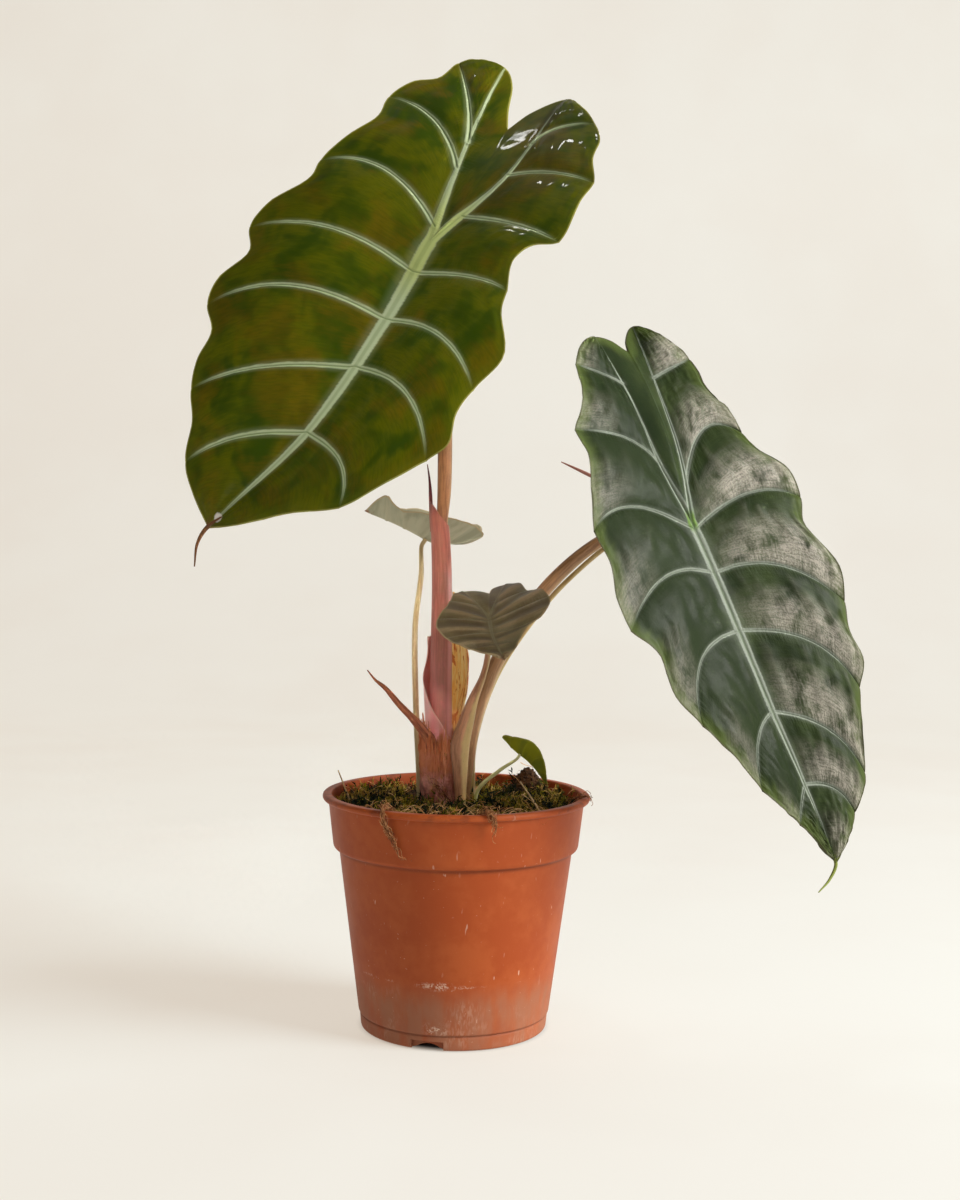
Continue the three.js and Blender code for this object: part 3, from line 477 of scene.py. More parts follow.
peat_finish, recipe, shader = new_finish("moist_peat", Roughness=0.95, Specular_IOR_Level=0.2)
place = recipe.place()
earth = recipe.use(mottle, {
    "Place": place, "Size": 5.0, "Main": colour(50, 34, 20), "Other": colour(104, 70, 42), "Share": 0.9})
green = recipe.mark("mossy") * place.speckle(2.2, 3.0).fade(0.4, 0.6)
shader["Base Color"] = green.blend(earth["Color"], colour(38, 44, 22))
grit = place.speckle(1.4, 6.0) * 0.7 + place.speckle(0.4) * 0.3
shader["Normal"] = grit.relief(1.2)
peat.data.materials.append(peat_finish)
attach(peat, "root")
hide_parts("soil")

# Moss, crumbs and fibres on the peat
# A loose mat of moss sprigs, a few millimetres tall, dark below and yellow-green at the tips, with crumbs
# of peat and curled tan fibres in it. Geometry Nodes scatter a few shapes of each over the peat's top.


def tube_faces(rings, sides):
    """The faces of a tube of rings of vertices, with one flat face at either end."""
    last = (rings - 1) * sides
    return ring_faces(rings, sides) + [list(range(sides))[::-1], list(range(last, last + sides))]


def closed_tube(path, radii, sides):
    """A tube along a path of points, with a radius at each, closed at both ends."""
    path = np.asarray(path, float)
    ahead = np.gradient(path, axis=0)
    ahead /= np.linalg.norm(ahead, axis=1, keepdims=True)
    across = np.cross(ahead, (0.31, 0.17, 0.93))
    across /= np.linalg.norm(across, axis=1, keepdims=True)
    up = np.cross(across, ahead)
    turns = np.linspace(0, 2 * np.pi, sides, endpoint=False)
    ring = across[:, None] * np.cos(turns)[:, None] + up[:, None] * np.sin(turns)[:, None]
    points = (path[:, None] + ring * np.asarray(radii)[:, None, None]).reshape(-1, 3)
    return points, tube_faces(len(path), sides)


def moss_sprig(rng):
    """The leaflets of a bent stalk, each a closed three-sided thorn, and how near its tip each point is."""
    points, faces, tips = [], [], []
    lean = rng.uniform(-1, 1, 2)
    for leaflet in range(11):
        up = leaflet / 10
        foot = np.array([lean[0] * up * up * 2.2, lean[1] * up * up * 2.2, 3.4 * up - 0.6])
        turn = leaflet * 2.4 + rng.uniform(-0.4, 0.4)
        out = np.array([math.cos(turn), math.sin(turn), rng.uniform(0.35, 0.95)])
        side = np.array([-math.sin(turn), math.cos(turn), 0]) * 0.24
        length = rng.uniform(1.2, 1.9) * (1 - 0.3 * up)
        start = len(points)
        points += [foot - side, foot + side, foot + (0, 0, -0.32), foot + out * length]
        faces += [[start, start + 1, start + 2], [start + 1, start, start + 3],
                  [start + 2, start + 1, start + 3], [start, start + 2, start + 3]]
        tips += [0.35 * up, 0.35 * up, 0.2 * up, 0.55 + 0.45 * up]
    return points, faces, tips


def curled_fibre(rng):
    """A dry fibre that lies in a loose curl."""
    steps = np.linspace(0, 1, 9)
    length = rng.uniform(4, 9)
    bend = rng.uniform(-1.6, 1.6, 2)
    path = np.stack([length * (steps - 0.5), 1.6 * np.sin(bend[0] + 3.1 * steps * bend[1]),
                     4.2 + 1.8 * np.sin(2.2 + 2.7 * steps + bend[0])], axis=1)
    points, faces = closed_tube(path, 0.15 * (1.15 - steps), 3)
    return points, faces, np.repeat(steps, 3)


def peat_crumb(rng):
    """A small rough lump."""
    lump = bmesh.new()
    bmesh.ops.create_icosphere(lump, subdivisions=1, radius=0.55)
    for vertex in lump.verts:
        vertex.co *= rng.uniform(0.6, 1.3)
        vertex.co.z *= 0.75
    points = [tuple(vertex.co) for vertex in lump.verts]
    faces = [[vertex.index for vertex in face.verts] for face in lump.faces]
    lump.free()
    return points, faces, [0.5] * len(points)


def shapes_to_scatter(name, make, count, seed):
    """A collection of a few different shapes of one kind."""
    rng = np.random.default_rng(seed)
    shapes = bpy.data.collections.new(name)
    for number in range(count):
        points, faces, tips = make(rng)
        shape = piece_of(f"{name}_{number}", points, faces, {"tip": tips})
        bpy.context.scene.collection.objects.unlink(shape)
        shapes.objects.link(shape)
    return shapes


scatter, recipe, given, leave = new_tree("scatter_on_a_surface", "GeometryNodeTree", {
    "Surface": "Geometry", "Shapes": "Collection", "Where": "String", "Density": "Float", "Smallest": "Float",
    "Largest": "Float", "Lean": "Float", "Seed": "Int", "Finish": "Material"}, {"Cover": "Geometry"})
share = recipe.node("GeometryNodeInputNamedAttribute", {"Name": given["Where"]}, data_type="FLOAT")
spread = recipe.node("GeometryNodeDistributePointsOnFaces", {
    "Mesh": given["Surface"], "Density": given["Density"] * share, "Seed": given["Seed"]})
lean = recipe.node("ShaderNodeCombineXYZ", {0: given["Lean"], 1: given["Lean"], 2: math.tau})
back = recipe.node("ShaderNodeVectorMath", {0: lean, 1: (-1.0, -1.0, 0.0)}, operation="MULTIPLY")
turn = recipe.node("FunctionNodeRandomValue", {
    0: back, 1: lean, 8: given["Seed"]}, 0, data_type="FLOAT_VECTOR")
size = recipe.node("FunctionNodeRandomValue", {2: given["Smallest"], 3: given["Largest"], 8: 7}, 1)
shapes = recipe.node("GeometryNodeCollectionInfo", {
    "Collection": given["Shapes"], "Separate Children": True, "Reset Children": True})
placed = recipe.node("GeometryNodeInstanceOnPoints", {
    "Points": spread, "Instance": shapes, "Pick Instance": True, "Rotation": turn, "Scale": size})
shade = recipe.node("FunctionNodeRandomValue", {2: 0.0, 3: 1.0, 8: 11}, 1)
shaded = recipe.node("GeometryNodeStoreNamedAttribute", {
    "Geometry": placed, "Name": "shade", "Value": shade}, domain="INSTANCE", data_type="FLOAT")
whole = recipe.node("GeometryNodeRealizeInstances", {"Geometry": shaded})
leave[0] = recipe.node("GeometryNodeSetMaterial", {"Geometry": whole, "Material": given["Finish"]})


def grown(name, source, tree, values):
    """What a Geometry Nodes tree makes from a mesh, as a plain mesh of its own."""
    piece = bpy.data.objects.new(name, source.copy())
    bpy.context.scene.collection.objects.link(piece)
    growth = piece.modifiers.new("growth", "NODES")
    growth.node_group = tree
    for socket in tree.interface.items_tree:
        if socket.in_out == "INPUT" and socket.name in values:
            growth[socket.identifier] = values[socket.name]
    bare_mesh(piece)
    return piece


moss_finish, recipe, shader = new_finish("moss", Roughness=0.8, Specular_IOR_Level=0.1)
place = recipe.place()
patch = place.speckle(10.0, 2.0).fade(0.4, 0.56)
leafy = recipe.mark("shade").blend(colour(52, 66, 8), colour(182, 164, 30))
yellowed = (patch * recipe.mark("shade")).blend(leafy, colour(250, 200, 104))
dark_patch = place.speckle(7.0, 1.0).fade(0.48, 0.54).blend(yellowed, colour(20, 36, 20))
shader["Base Color"] = recipe.mark("tip").blend(colour(16, 18, 6), dark_patch)
shader["Normal"] = place.speckle(0.4).relief(0.1)
moss_shapes = shapes_to_scatter("sprig", moss_sprig, 6, 4)
moss = grown("moss", peat.data, scatter, {
    "Shapes": moss_shapes, "Where": "mossy", "Density": 0.46 / MM**2, "Smallest": 0.6, "Largest": 2.0,
    "Lean": 0.9, "Seed": 5, "Finish": moss_finish})
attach(moss, "root")

crumb_finish, recipe, shader = new_finish("peat_crumbs", Roughness=0.95, Specular_IOR_Level=0.2)
place = recipe.place()
earth = recipe.use(mottle, {
    "Place": place, "Size": 2.0, "Main": colour(52, 34, 22), "Other": colour(104, 72, 46), "Share": 1.0})
shader["Base Color"] = recipe.mark("shade").blend(earth["Color"], colour(60, 40, 26))
shader["Normal"] = place.speckle(0.5, 3.0).relief(0.4)
crumbs = grown("peat_crumbs", peat.data, scatter, {
    "Shapes": shapes_to_scatter("crumb", peat_crumb, 5, 6), "Where": "bare", "Density": 0.32 / MM**2,
    "Smallest": 0.5, "Largest": 2.0, "Lean": 3.0, "Seed": 9, "Finish": crumb_finish})
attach(crumbs, "root")

# Streaks along a grown or dried fibre, from a place given round and along it, at two widths.
fibre_grain, recipe, given, out = new_effect(
    "fibre_grain", "Size, Share", "Main, Streak", "Grain",
    {"Color": "Color", "Mask": "Float", "Height": "Float"})
threads = recipe.node("ShaderNodeVectorMath", {0: given["Grain"], 1: (1.0, 1.0, 0.07)}, operation="MULTIPLY")
wide = threads.speckle(given["Size"], 4.0)
thin = recipe.node("ShaderNodeTexNoise", {"Vector": threads, "Scale": 3.6 / given["Size"], "Detail": 2.0})
mask = (wide * 0.65 + thin * 0.35).fade(0.42, 0.6)
out["Mask"] = mask
out["Height"] = thin * 0.6 + wide * 0.4
out["Color"] = (mask * given["Share"]).blend(given["Main"], given["Streak"])

fibre_finish, recipe, shader = new_finish("dry_fibre", Roughness=0.8, Specular_IOR_Level=0.3)
place = recipe.place()
tan = recipe.use(fibre_grain, {
    "Grain": place, "Size": 0.8, "Main": colour(226, 172, 110), "Streak": colour(242, 206, 148),
    "Share": 1.0})
shader["Base Color"] = recipe.mark("shade").blend(tan["Color"], colour(170, 108, 60))
shader["Normal"] = tan["Height"].relief(0.05)
fibres = grown("peat_fibres", peat.data, scatter, {
    "Shapes": shapes_to_scatter("fibre", curled_fibre, 7, 8), "Where": "strewn", "Density": 0.2 / MM**2,
    "Smallest": 0.5, "Largest": 1.3, "Lean": 0.4, "Seed": 14, "Finish": fibre_finish})
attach(fibres, "root")

# The rootstock
# A short upright stump wrapped in the torn bases of old leaves. It is fibrous, brown and mauve, and the
# leaves stand in its top.
KNOB_TURN = 2.15
KNOB_UP = 19
STUMP = [
    (-8, 2.5, 90, 7.5),
    (-8, 2.5, 94, 7.6),
    (-8.2, 2.5, 102, 7.4),
    (-8.4, 2, 110, 7.6),
    (-8.4, 2, 118, 7.8),
    (-8.8, 2, 124, 7.2),
    (-9.3, 2, 129, 5.4),
]


def along(points, share):
    """Places at shares of the way along a smooth curve through the points, by the knots' own spacing."""
    knots = np.asarray(points, float)
    knots = np.vstack([2 * knots[0] - knots[1], knots, 2 * knots[-1] - knots[-2]])
    way = np.clip(share, 0, 1) * (len(points) - 1)
    span = np.minimum(way.astype(int), len(points) - 2)
    u = (way - span)[..., None]
    a, b, c, d = (knots[span + n] for n in range(4))
    first, middle, third = (np.sqrt(np.linalg.norm(q - p, axis=-1, keepdims=True))
                            for p, q in ((a, b), (b, c), (c, d)))
    leave = ((b - a) / first - (c - a) / (first + middle) + (c - b) / middle) * middle
    arrive = ((c - b) / middle - (d - b) / (middle + third) + (d - c) / third) * middle
    return b + u * leave + u**2 * (3 * (c - b) - 2 * leave - arrive) + u**3 * (2 * (b - c) + leave + arrive)


def stem(stations, steps, sides, swelling=None):
    """A closed stem along stations of x, y, z, half width across the view and half depth. Its grain is a
    place round and along it, as if it were straight. A swelling is given the turn and the way along."""
    full = [(*station, station[3]) if len(station) == 4 else station for station in stations]
    share = np.linspace(0, 1, steps + 1)
    line = along(full, share)
    centre, width, depth = line[:, :3], line[:, 3], line[:, 4]
    ahead = along(full, np.minimum(share + 1e-4, 1))[:, :3] - along(full, np.maximum(share - 1e-4, 0))[:, :3]
    ahead /= np.linalg.norm(ahead, axis=1, keepdims=True)
    right = np.cross(ahead, (0, -1, 0))
    right /= np.linalg.norm(right, axis=1, keepdims=True)
    front = np.cross(right, ahead)
    turns = np.linspace(0, 2 * np.pi, sides, endpoint=False)
    way = np.concatenate([[0], np.cumsum(np.linalg.norm(np.diff(centre, axis=0), axis=1))])
    turn_grid, way_grid = np.meshgrid(turns, way)
    extra = swelling(turn_grid, way_grid) if swelling else 0 * turn_grid
    across = (width[:, None] + extra) * np.cos(turn_grid)
    towards = (depth[:, None] + extra) * np.sin(turn_grid)
    points = centre[:, None] + across[..., None] * right[:, None] + towards[..., None] * front[:, None]
    grain = np.stack([across, towards, way_grid], axis=-1).reshape(-1, 3)
    return points.reshape(-1, 3), tube_faces(steps + 1, sides), grain


def stump_relief(turn, way):
    """Fibres, leaf scars and lumps of the stump."""
    x, y, z = np.cos(turn).ravel(), np.sin(turn).ravel(), way.ravel()
    lumps = np.array([noise.fractal(Vector((2 * a, 2 * b, c / 7)), 0.8, 2.2, 3) for a, b, c in zip(x, y, z)])
    fibres = np.array([noise.noise(Vector((9 * a, 9 * b, c / 6))) for a, b, c in zip(x, y, z)])
    scars = np.abs(np.sin(z / 2.4 + 1.2 * lumps))
    knob = np.exp(-((turn.ravel() - KNOB_TURN) / 0.42) ** 2 - ((z - KNOB_UP) / 4.2) ** 2)
    return (1.3 * lumps + 0.5 * fibres - 0.5 * (scars < 0.25) + 2.4 * knob).reshape(turn.shape)


points, faces, grain = stem(STUMP, 90, 96, stump_relief)
rootstock = piece_of("rootstock_stump", points, faces, {"grain": grain}, crease=80)
root_finish, recipe, shader = new_finish("fibrous_root", Roughness=0.82, Specular_IOR_Level=0.3)
place = recipe.place()
bark = recipe.use(fibre_grain, {
    "Grain": recipe.mark("grain", "Vector"), "Size": 1.6, "Main": colour(168, 100, 64),
    "Streak": colour(214, 150, 98), "Share": 0.9})
flesh = recipe.use(mottle, {
    "Place": place, "Size": 7.0, "Main": colour(214, 148, 128), "Other": colour(170, 108, 98),
    "Share": 1.0})
x = place.parts()[0]
skinned = (place.speckle(6.0, 3.0) * 9.0 + x).fade(-4.0, -9.0)
shader["Base Color"] = skinned.blend(bark["Color"], flesh["Color"])
shader["Normal"] = bark["Height"].relief(0.7)
rootstock.data.materials.append(root_finish)
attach(rootstock, "root")
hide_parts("rootstock")

# Old roots over the lip and straws in the moss
# A bundle of dead roots hangs over the front left of the lip, with smaller tufts at the front and the
# right. Two dry straws stand in the moss. Geometry Nodes spin each bundle round its path.
bundle, recipe, given, leave = new_tree("bundle_of_fibres", "GeometryNodeTree", {
    "Path": "Geometry", "Fibres": "Int", "Spread": "Float", "Curl": "Float", "Thickness": "Float",
    "Shortest": "Float", "Seed": "Int", "Finish": "Material"}, {"Bundle": "Geometry"})
path = recipe.node("GeometryNodeMeshToCurve", {"Mesh": given["Path"]})
copied = recipe.node("GeometryNodeDuplicateElements", {
    "Geometry": path, "Amount": given["Fibres"]}, domain="SPLINE")
copy_number = copied.socket.node.outputs["Duplicate Index"]
number = recipe.node("FunctionNodeRandomValue", {2: 0.0, 3: 90.0, 7: copy_number, 8: given["Seed"]}, 1)
numbered = recipe.node("GeometryNodeStoreNamedAttribute", {
    "Geometry": copied, "Name": "strand", "Value": number}, domain="CURVE", data_type="FLOAT")
longest = 1.0 - given["Shortest"]
cut_low = recipe.node("FunctionNodeRandomValue", {2: 0.0, 3: given["Shortest"], 8: 3}, 1)
cut_high = recipe.node("FunctionNodeRandomValue", {2: longest, 3: 1.0, 8: 5}, 1)
trimmed = recipe.node("GeometryNodeTrimCurve", {"Curve": numbered, "Start": cut_low, "End": cut_high})
even = recipe.node("GeometryNodeResampleCurve", {"Curve": trimmed, "Count": 26})
strand = recipe.node("GeometryNodeInputNamedAttribute", {"Name": "strand"}, data_type="FLOAT")
spot = recipe.node("GeometryNodeInputPosition")
apart = recipe.node("ShaderNodeCombineXYZ", {0: strand, 1: strand * 1.7, 2: strand * 0.6})
scaled = recipe.node("ShaderNodeVectorMath", {0: spot, "Scale": given["Curl"]}, operation="SCALE")
where = recipe.node("ShaderNodeVectorMath", {0: scaled, 1: apart}, operation="ADD")
wander = recipe.node("ShaderNodeTexNoise", {"Vector": where, "Scale": 1.0, "Detail": 1.5}, "Color")
centred = recipe.node("ShaderNodeVectorMath", {0: wander, 1: (0.5, 0.5, 0.5)}, operation="SUBTRACT")
stray = (strand * 0.53).math("FRACT") + 0.45
offset = recipe.node("ShaderNodeVectorMath", {
    0: centred, "Scale": given["Spread"] * stray}, operation="SCALE")
moved = recipe.node("GeometryNodeSetPosition", {"Geometry": even, "Offset": offset})
along_it = recipe.node("GeometryNodeSplineParameter")
stoutness = (strand * 0.73).math("FRACT") * 1.3 + 0.5
taper = along_it.fade(0.75, 1.0, 1.0, 0.35) * stoutness
thick = recipe.node("GeometryNodeSetCurveRadius", {"Curve": moved, "Radius": taper})
round_section = recipe.node("GeometryNodeCurvePrimitiveCircle", {
    "Resolution": 5, "Radius": given["Thickness"]})
tubes = recipe.node("GeometryNodeCurveToMesh", {
    "Curve": thick, "Profile Curve": round_section, "Fill Caps": True})
shade = (strand * 0.37).math("FRACT")
shaded = recipe.node("GeometryNodeStoreNamedAttribute", {
    "Geometry": tubes, "Name": "shade", "Value": shade}, domain="POINT", data_type="FLOAT")
whole = recipe.node("GeometryNodeRealizeInstances", {"Geometry": shaded})
leave[0] = recipe.node("GeometryNodeSetMaterial", {"Geometry": whole, "Material": given["Finish"]})


def path_mesh(name, stations):
    """A line of edges along stations in millimetres."""
    line = along([station[:3] for station in stations], np.linspace(0, 1, 40)) * MM
    mesh = bpy.data.meshes.new(name)
    mesh.from_pydata(line.tolist(), [(n, n + 1) for n in range(len(line) - 1)], [])
    return mesh


def rim_point(degrees, radius, height):
    """A place by its turn from the front of the pot towards the viewer's right."""
    turn = math.radians(degrees)
    return (radius * math.sin(turn), -radius * math.cos(turn), height)


ROOT_STRAND = [rim_point(-30, 44, 100), rim_point(-31, 50, 103), rim_point(-31, 56, 106.2),
               rim_point(-30, 60.4, 105.6), rim_point(-29, 61.4, 102), rim_point(-28, 59.9, 98),
               rim_point(-26, 58.2, 92), rim_point(-23, 57.5, 86.6), rim_point(-19, 56.9, 84.5)]
FRONT_TUFT = [rim_point(9, 50, 101), rim_point(12, 56, 105.8), rim_point(15, 60.4, 105.2),
              rim_point(16, 60.8, 101), rim_point(16.5, 59, 95)]
RIGHT_TUFT = [rim_point(74, 49, 102), rim_point(76, 55, 105.6), rim_point(78, 60.2, 106),
              rim_point(80, 61.3, 102)]
dead_root, recipe, shader = new_finish("dead_root", Roughness=0.85, Specular_IOR_Level=0.25)
place = recipe.place()
brown = recipe.use(fibre_grain, {
    "Grain": place, "Size": 1.0, "Main": colour(160, 98, 56), "Streak": colour(214, 158, 104),
    "Share": 1.0})
shader["Base Color"] = recipe.mark("shade").blend(brown["Color"], colour(82, 42, 24))
shader["Normal"] = brown["Height"].relief(0.06)
strand = grown("root_strand_fibres", path_mesh("path", ROOT_STRAND), bundle, {
    "Fibres": 34, "Spread": 8.5 * MM, "Curl": 260.0, "Thickness": 0.13 * MM, "Shortest": 0.6, "Seed": 2,
    "Finish": dead_root})
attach(strand, "root")
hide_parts("root_strand")
for name, stations, fibres_in, spread, seed in (
    ("root_tuft_front", FRONT_TUFT, 30, 10.0, 6), ("root_tuft_right", RIGHT_TUFT, 20, 8.0, 8)
):
    tuft = grown(name, path_mesh("path", stations), bundle, {
        "Fibres": fibres_in, "Spread": spread * MM, "Curl": 210.0, "Thickness": 0.12 * MM, "Shortest": 0.55,
        "Seed": seed, "Finish": dead_root})
    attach(tuft, "root")

STRAWS = {
    "straw_left": [(-45, 0, 94, 0.5), (-49, 3, 102, 0.45), (-54, 7, 113, 0.25)],
    "straw_right": [(39.5, -31, 95, 0.5), (35, -27, 104, 0.45), (28, -21, 113.5, 0.25)],
}
straw_finish, recipe, shader = new_finish("dry_straw", Roughness=0.6, Specular_IOR_Level=0.4)
dry = recipe.use(fibre_grain, {
    "Grain": recipe.mark("grain", "Vector"), "Size": 0.35, "Main": colour(220, 190, 140),
    "Streak": colour(168, 126, 80), "Share": 0.8})
shader["Base Color"] = dry["Color"]
shader["Normal"] = dry["Height"].relief(0.08)
for name, stations in STRAWS.items():
    points, faces, grain = stem(stations, 24, 10)
    straw = piece_of(name + "_stalk", points, faces, {"grain": grain}, crease=60)
    straw.data.materials.append(straw_finish)
    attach(straw, "root")
    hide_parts(name)

# The petioles
# Each leaf stands on one smooth round stalk, brown and finely streaked on the large leaves and pale olive
# on the small ones. It bends square to its blade and widens into the veins under it.
SEATS = {
    "tall": {"joint": (-15.4, 8, 350.9), "to_tip": (-0.578, -0.232, -0.782), "upper": (-0.302, -0.83, 0.469)},
    "arching": {"joint": (97.3, -45, 228.6), "to_tip": (0.381, -0.2, -0.903),
                "upper": (0.352, -0.871, 0.342)},
    "back": {"joint": (-16, 30, 219), "to_tip": (-0.87, -0.1, 0.48), "upper": (0.48, 0, 0.88)},
    "front": {"joint": (13.3, -32, 185.7), "to_tip": (0.13, -0.85, -0.51), "upper": (-0.05, -0.5, 0.86)},
    "rear": {"joint": (90, -5, 231), "to_tip": (-0.86, 0.1, 0.5), "upper": (0.45, -0.25, 0.85)},
    "seedling": {"joint": (28.6, -6, 124), "to_tip": (0.82, -0.1, -0.56), "upper": (0.56, 0.15, 0.82)},
}
KEELS = {"tall": 2.2, "arching": 2.0, "back": 0.8, "front": 0.9, "rear": 0.8, "seedling": 0.5}
BLADE_THICKNESS = 0.9
PETIOLES = {
    "tall": [(-7.9, 2.5, 118, 2.6), (-7.8, 2.5, 150, 2.6), (-7.9, 2.5, 195, 2.6), (-8.2, 2.5, 224, 2.4),
             (-7.4, 2.6, 242, 3.1), (-8.2, 7, 300, 3.1), (-9.6, 12.5, 326, 2.9)],
    "arching": [(4, -3, 92, 2.1), (4.1, -3, 106, 2.1), (5.6, -3, 120, 2.4), (7.8, -3.3, 137, 2.7),
                (12.6, -4, 153, 3), (18, -5, 166, 3.2), (38, -7, 197.1, 3.1), (59, -15, 217.3, 2.7),
                (76, -28, 225.5, 2.5)],
    "back": [(-16.4, 11.5, 92, 1.5), (-17.2, 11.5, 110, 1.5), (-19.3, 14, 142, 1.4), (-20.2, 18, 178.9, 1.3),
             (-18, 24, 202, 1.2)],
    "front": [(2, -11, 92, 2.2), (1.9, -11, 104, 2.4), (1.5, -11, 117, 3.4, 2.8), (1.4, -11, 128, 4.2, 3.2),
              (3.9, -12, 138, 3.4, 2.8), (6.9, -14.5, 148.4, 2.3), (10.9, -19, 159, 1.4),
              (12.9, -24.5, 168, 1.3)],
    "rear": [(7, 4.5, 92, 1.3), (7, 4.5, 106, 1.3), (7.4, 5, 124, 1.2), (13, 6, 146.5, 1.2),
             (22, 5, 166, 1.2), (40.7, 2, 192.6, 1.15), (52, 1, 204.6, 1.1), (65.6, -1, 216.6, 1.1),
             (78, -3.5, 224.5, 1.1)],
    "seedling": [(8.2, 0, 94, 0.9), (9.5, -0.5, 106, 0.9), (19, -3.5, 115.5, 0.8)],
}
PETIOLE_STEPS = 220
PETIOLE_SIDES = 28
NECK_RADII = {"tall": 2.5, "arching": 2.2, "back": 1, "front": 1.2, "rear": 0.9, "seedling": 0.6}


def seat_axes(name):
    """A blade's joint, and the directions of its tip, its right side and its upper side."""
    seat = SEATS[name]
    tipward = Vector(seat["to_tip"]).normalized()
    upward = Vector(seat["upper"])
    upward = (upward - tipward * upward.dot(tipward)).normalized()
    return tuple(np.array(v) for v in (seat["joint"], tipward, upward.cross(tipward), upward))


def neck(name):
    """The last stations of a petiole, which runs square into the veins under its blade."""
    joint, _, _, upward = seat_axes(name)
    radius = NECK_RADII[name]
    meet = BLADE_THICKNESS + KEELS[name]
    depths = {meet + 2.4 * radius + 0.35: radius, meet + 0.35: 1.04 * radius, 0.5 * meet: 1.15 * radius}
    return [(*(joint - depth * upward), width) for depth, width in depths.items()]


def stalk_relief(turn, way):
    """Faint lengthwise ribs."""
    return 0.03 * np.sin(11 * turn + 0.05 * way) + 0.02 * np.sin(23 * turn + 2)


def petiole_finish(name, main, streak, side, lit_side_from):
    """The skin of a petiole, with a paler colour painted on the side that turns to the viewer's right, as
    painted light on that side.
    """
    material, recipe, shader = new_finish(name, Roughness=0.42, Specular_IOR_Level=0.4, Coat_Weight=0.12,
                                          Coat_Roughness=0.3)
    grain = recipe.mark("grain", "Vector")
    skin = recipe.use(fibre_grain, {
        "Grain": grain, "Size": 1.1, "Main": main, "Streak": streak, "Share": 0.85})
    x = grain.parts()[0]
    # A paler colour is painted on the right side, as painted light from the lamp there.
    lit_side = (x + grain.speckle(4.0) * 1.2).fade(lit_side_from, lit_side_from + 1.8)
    flecks = grain.stretched(1.0, 1.0, 3.0).speckle(0.5, 1.0).fade(0.66, 0.74)
    sided = (lit_side * 0.8).blend(skin["Color"], side)
    shader["Base Color"] = (flecks * 0.35).blend(sided, streak)
    shader["Roughness"] = skin["Mask"] * 0.14 + 0.36
    shader["Normal"] = skin["Height"].relief(0.12)
    return material


# Each skin: its material, its main and streak colours, the paler colour painted as light on the right side,
# and where that side begins.
PETIOLE_SKINS = {
    "tall": ("brown_petiole", colour(174, 120, 78), colour(132, 90, 58), colour(186, 140, 92), 2.2),
    "arching": ("brown_petiole", colour(186, 138, 94), colour(144, 102, 66), colour(206, 170, 120), 1.9),
    "front": ("brown_petiole", colour(188, 130, 92), colour(142, 94, 64), colour(202, 176, 112), 0.4),
    "back": ("pale_petiole", colour(222, 202, 150), colour(188, 160, 110), colour(232, 220, 172), 0.7),
    "rear": ("pale_petiole", colour(212, 186, 126), colour(172, 138, 84), colour(226, 206, 152), 0.7),
    "seedling": ("pale_petiole", colour(242, 236, 166), colour(210, 206, 126), colour(246, 242, 190), 0.4),
}
for name, stations in PETIOLES.items():
    points, faces, grain = stem(stations + neck(name), PETIOLE_STEPS, PETIOLE_SIDES, stalk_relief)
    petiole = piece_of("stalk_" + name, points, faces, {"grain": grain}, crease=60)
    slot, *skin = PETIOLE_SKINS[name]
    petiole.data.materials.append(petiole_finish(f"{slot}_{name}", *skin))
    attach(petiole, "root")
    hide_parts("petiole_" + name)

# The sheaths
# The tall leaf's stalk rises out of two wrapped sheaths: a long pink inner one that ends in a thin dark
# point, and a short outer one that opens at the left. Behind them stands a dead, papery leaf scale.
SHEATH_AXIS = (-7.8, 2.5)
SHEATH_WALL = 0.6
SCALE_WALL = 0.5
INNER_SHEATH = [(128.7, 5.4, -178, 178, 0), (150, 5.1, -178, 178, 0), (169, 4.9, -178, 178, 0),
                (190, 4.6, -178, 178, 0), (212, 4.5, -178, 178, 2), (230, 4.5, -178, 178, 5.5)]
OUTER_SHEATH = [(126.5, 7, -160, 140, 0), (136, 6.9, -140, 98, 0), (144, 7.3, -130, 55, 0),
                (151, 7.7, -120, 22, 0), (157, 7.9, -90, 10, 0), (166, 6.6, -70, 4, 0), (175, 6, -40, 0, 0)]
DRY_CATAPHYLL = [(127, 8, 150, 250, 0), (142, 10.5, 158, 250, 0), (156, 12.6, 168, 258, 0),
                 (172, 11.4, 176, 252, 0), (186, 7.6, 180, 235, 0), (195, 5.8, 185, 215, 0)]
SHEATH_POINT = [(-13, 2.5, 222, 0.5), (-13.2, 2.5, 229, 0.8), (-13.4, 2.5, 236, 0.85),
                (-14, 2.4, 244.5, 0.55), (-15.1, 2.2, 252, 0.2)]


def closed_sheet(outer, inner, columns):
    """Faces between two grids of the same shape, with their four edges closed."""
    count = len(outer)
    rows = count // columns
    at = np.arange(count).reshape(rows, columns)
    quads = np.stack([at[:-1, :-1], at[:-1, 1:], at[1:, 1:], at[1:, :-1]], axis=-1).reshape(-1, 4)
    faces = quads.tolist() + (quads[:, ::-1] + count).tolist()
    loop = [*at[0], *at[1:, -1], *at[-1, -2::-1], *at[-2:0:-1, 0]]
    for start, end in zip(loop, loop[1:] + loop[:1]):
        faces.append([int(end), int(start), int(start) + count, int(end) + count])
    return np.vstack([outer, inner]), faces


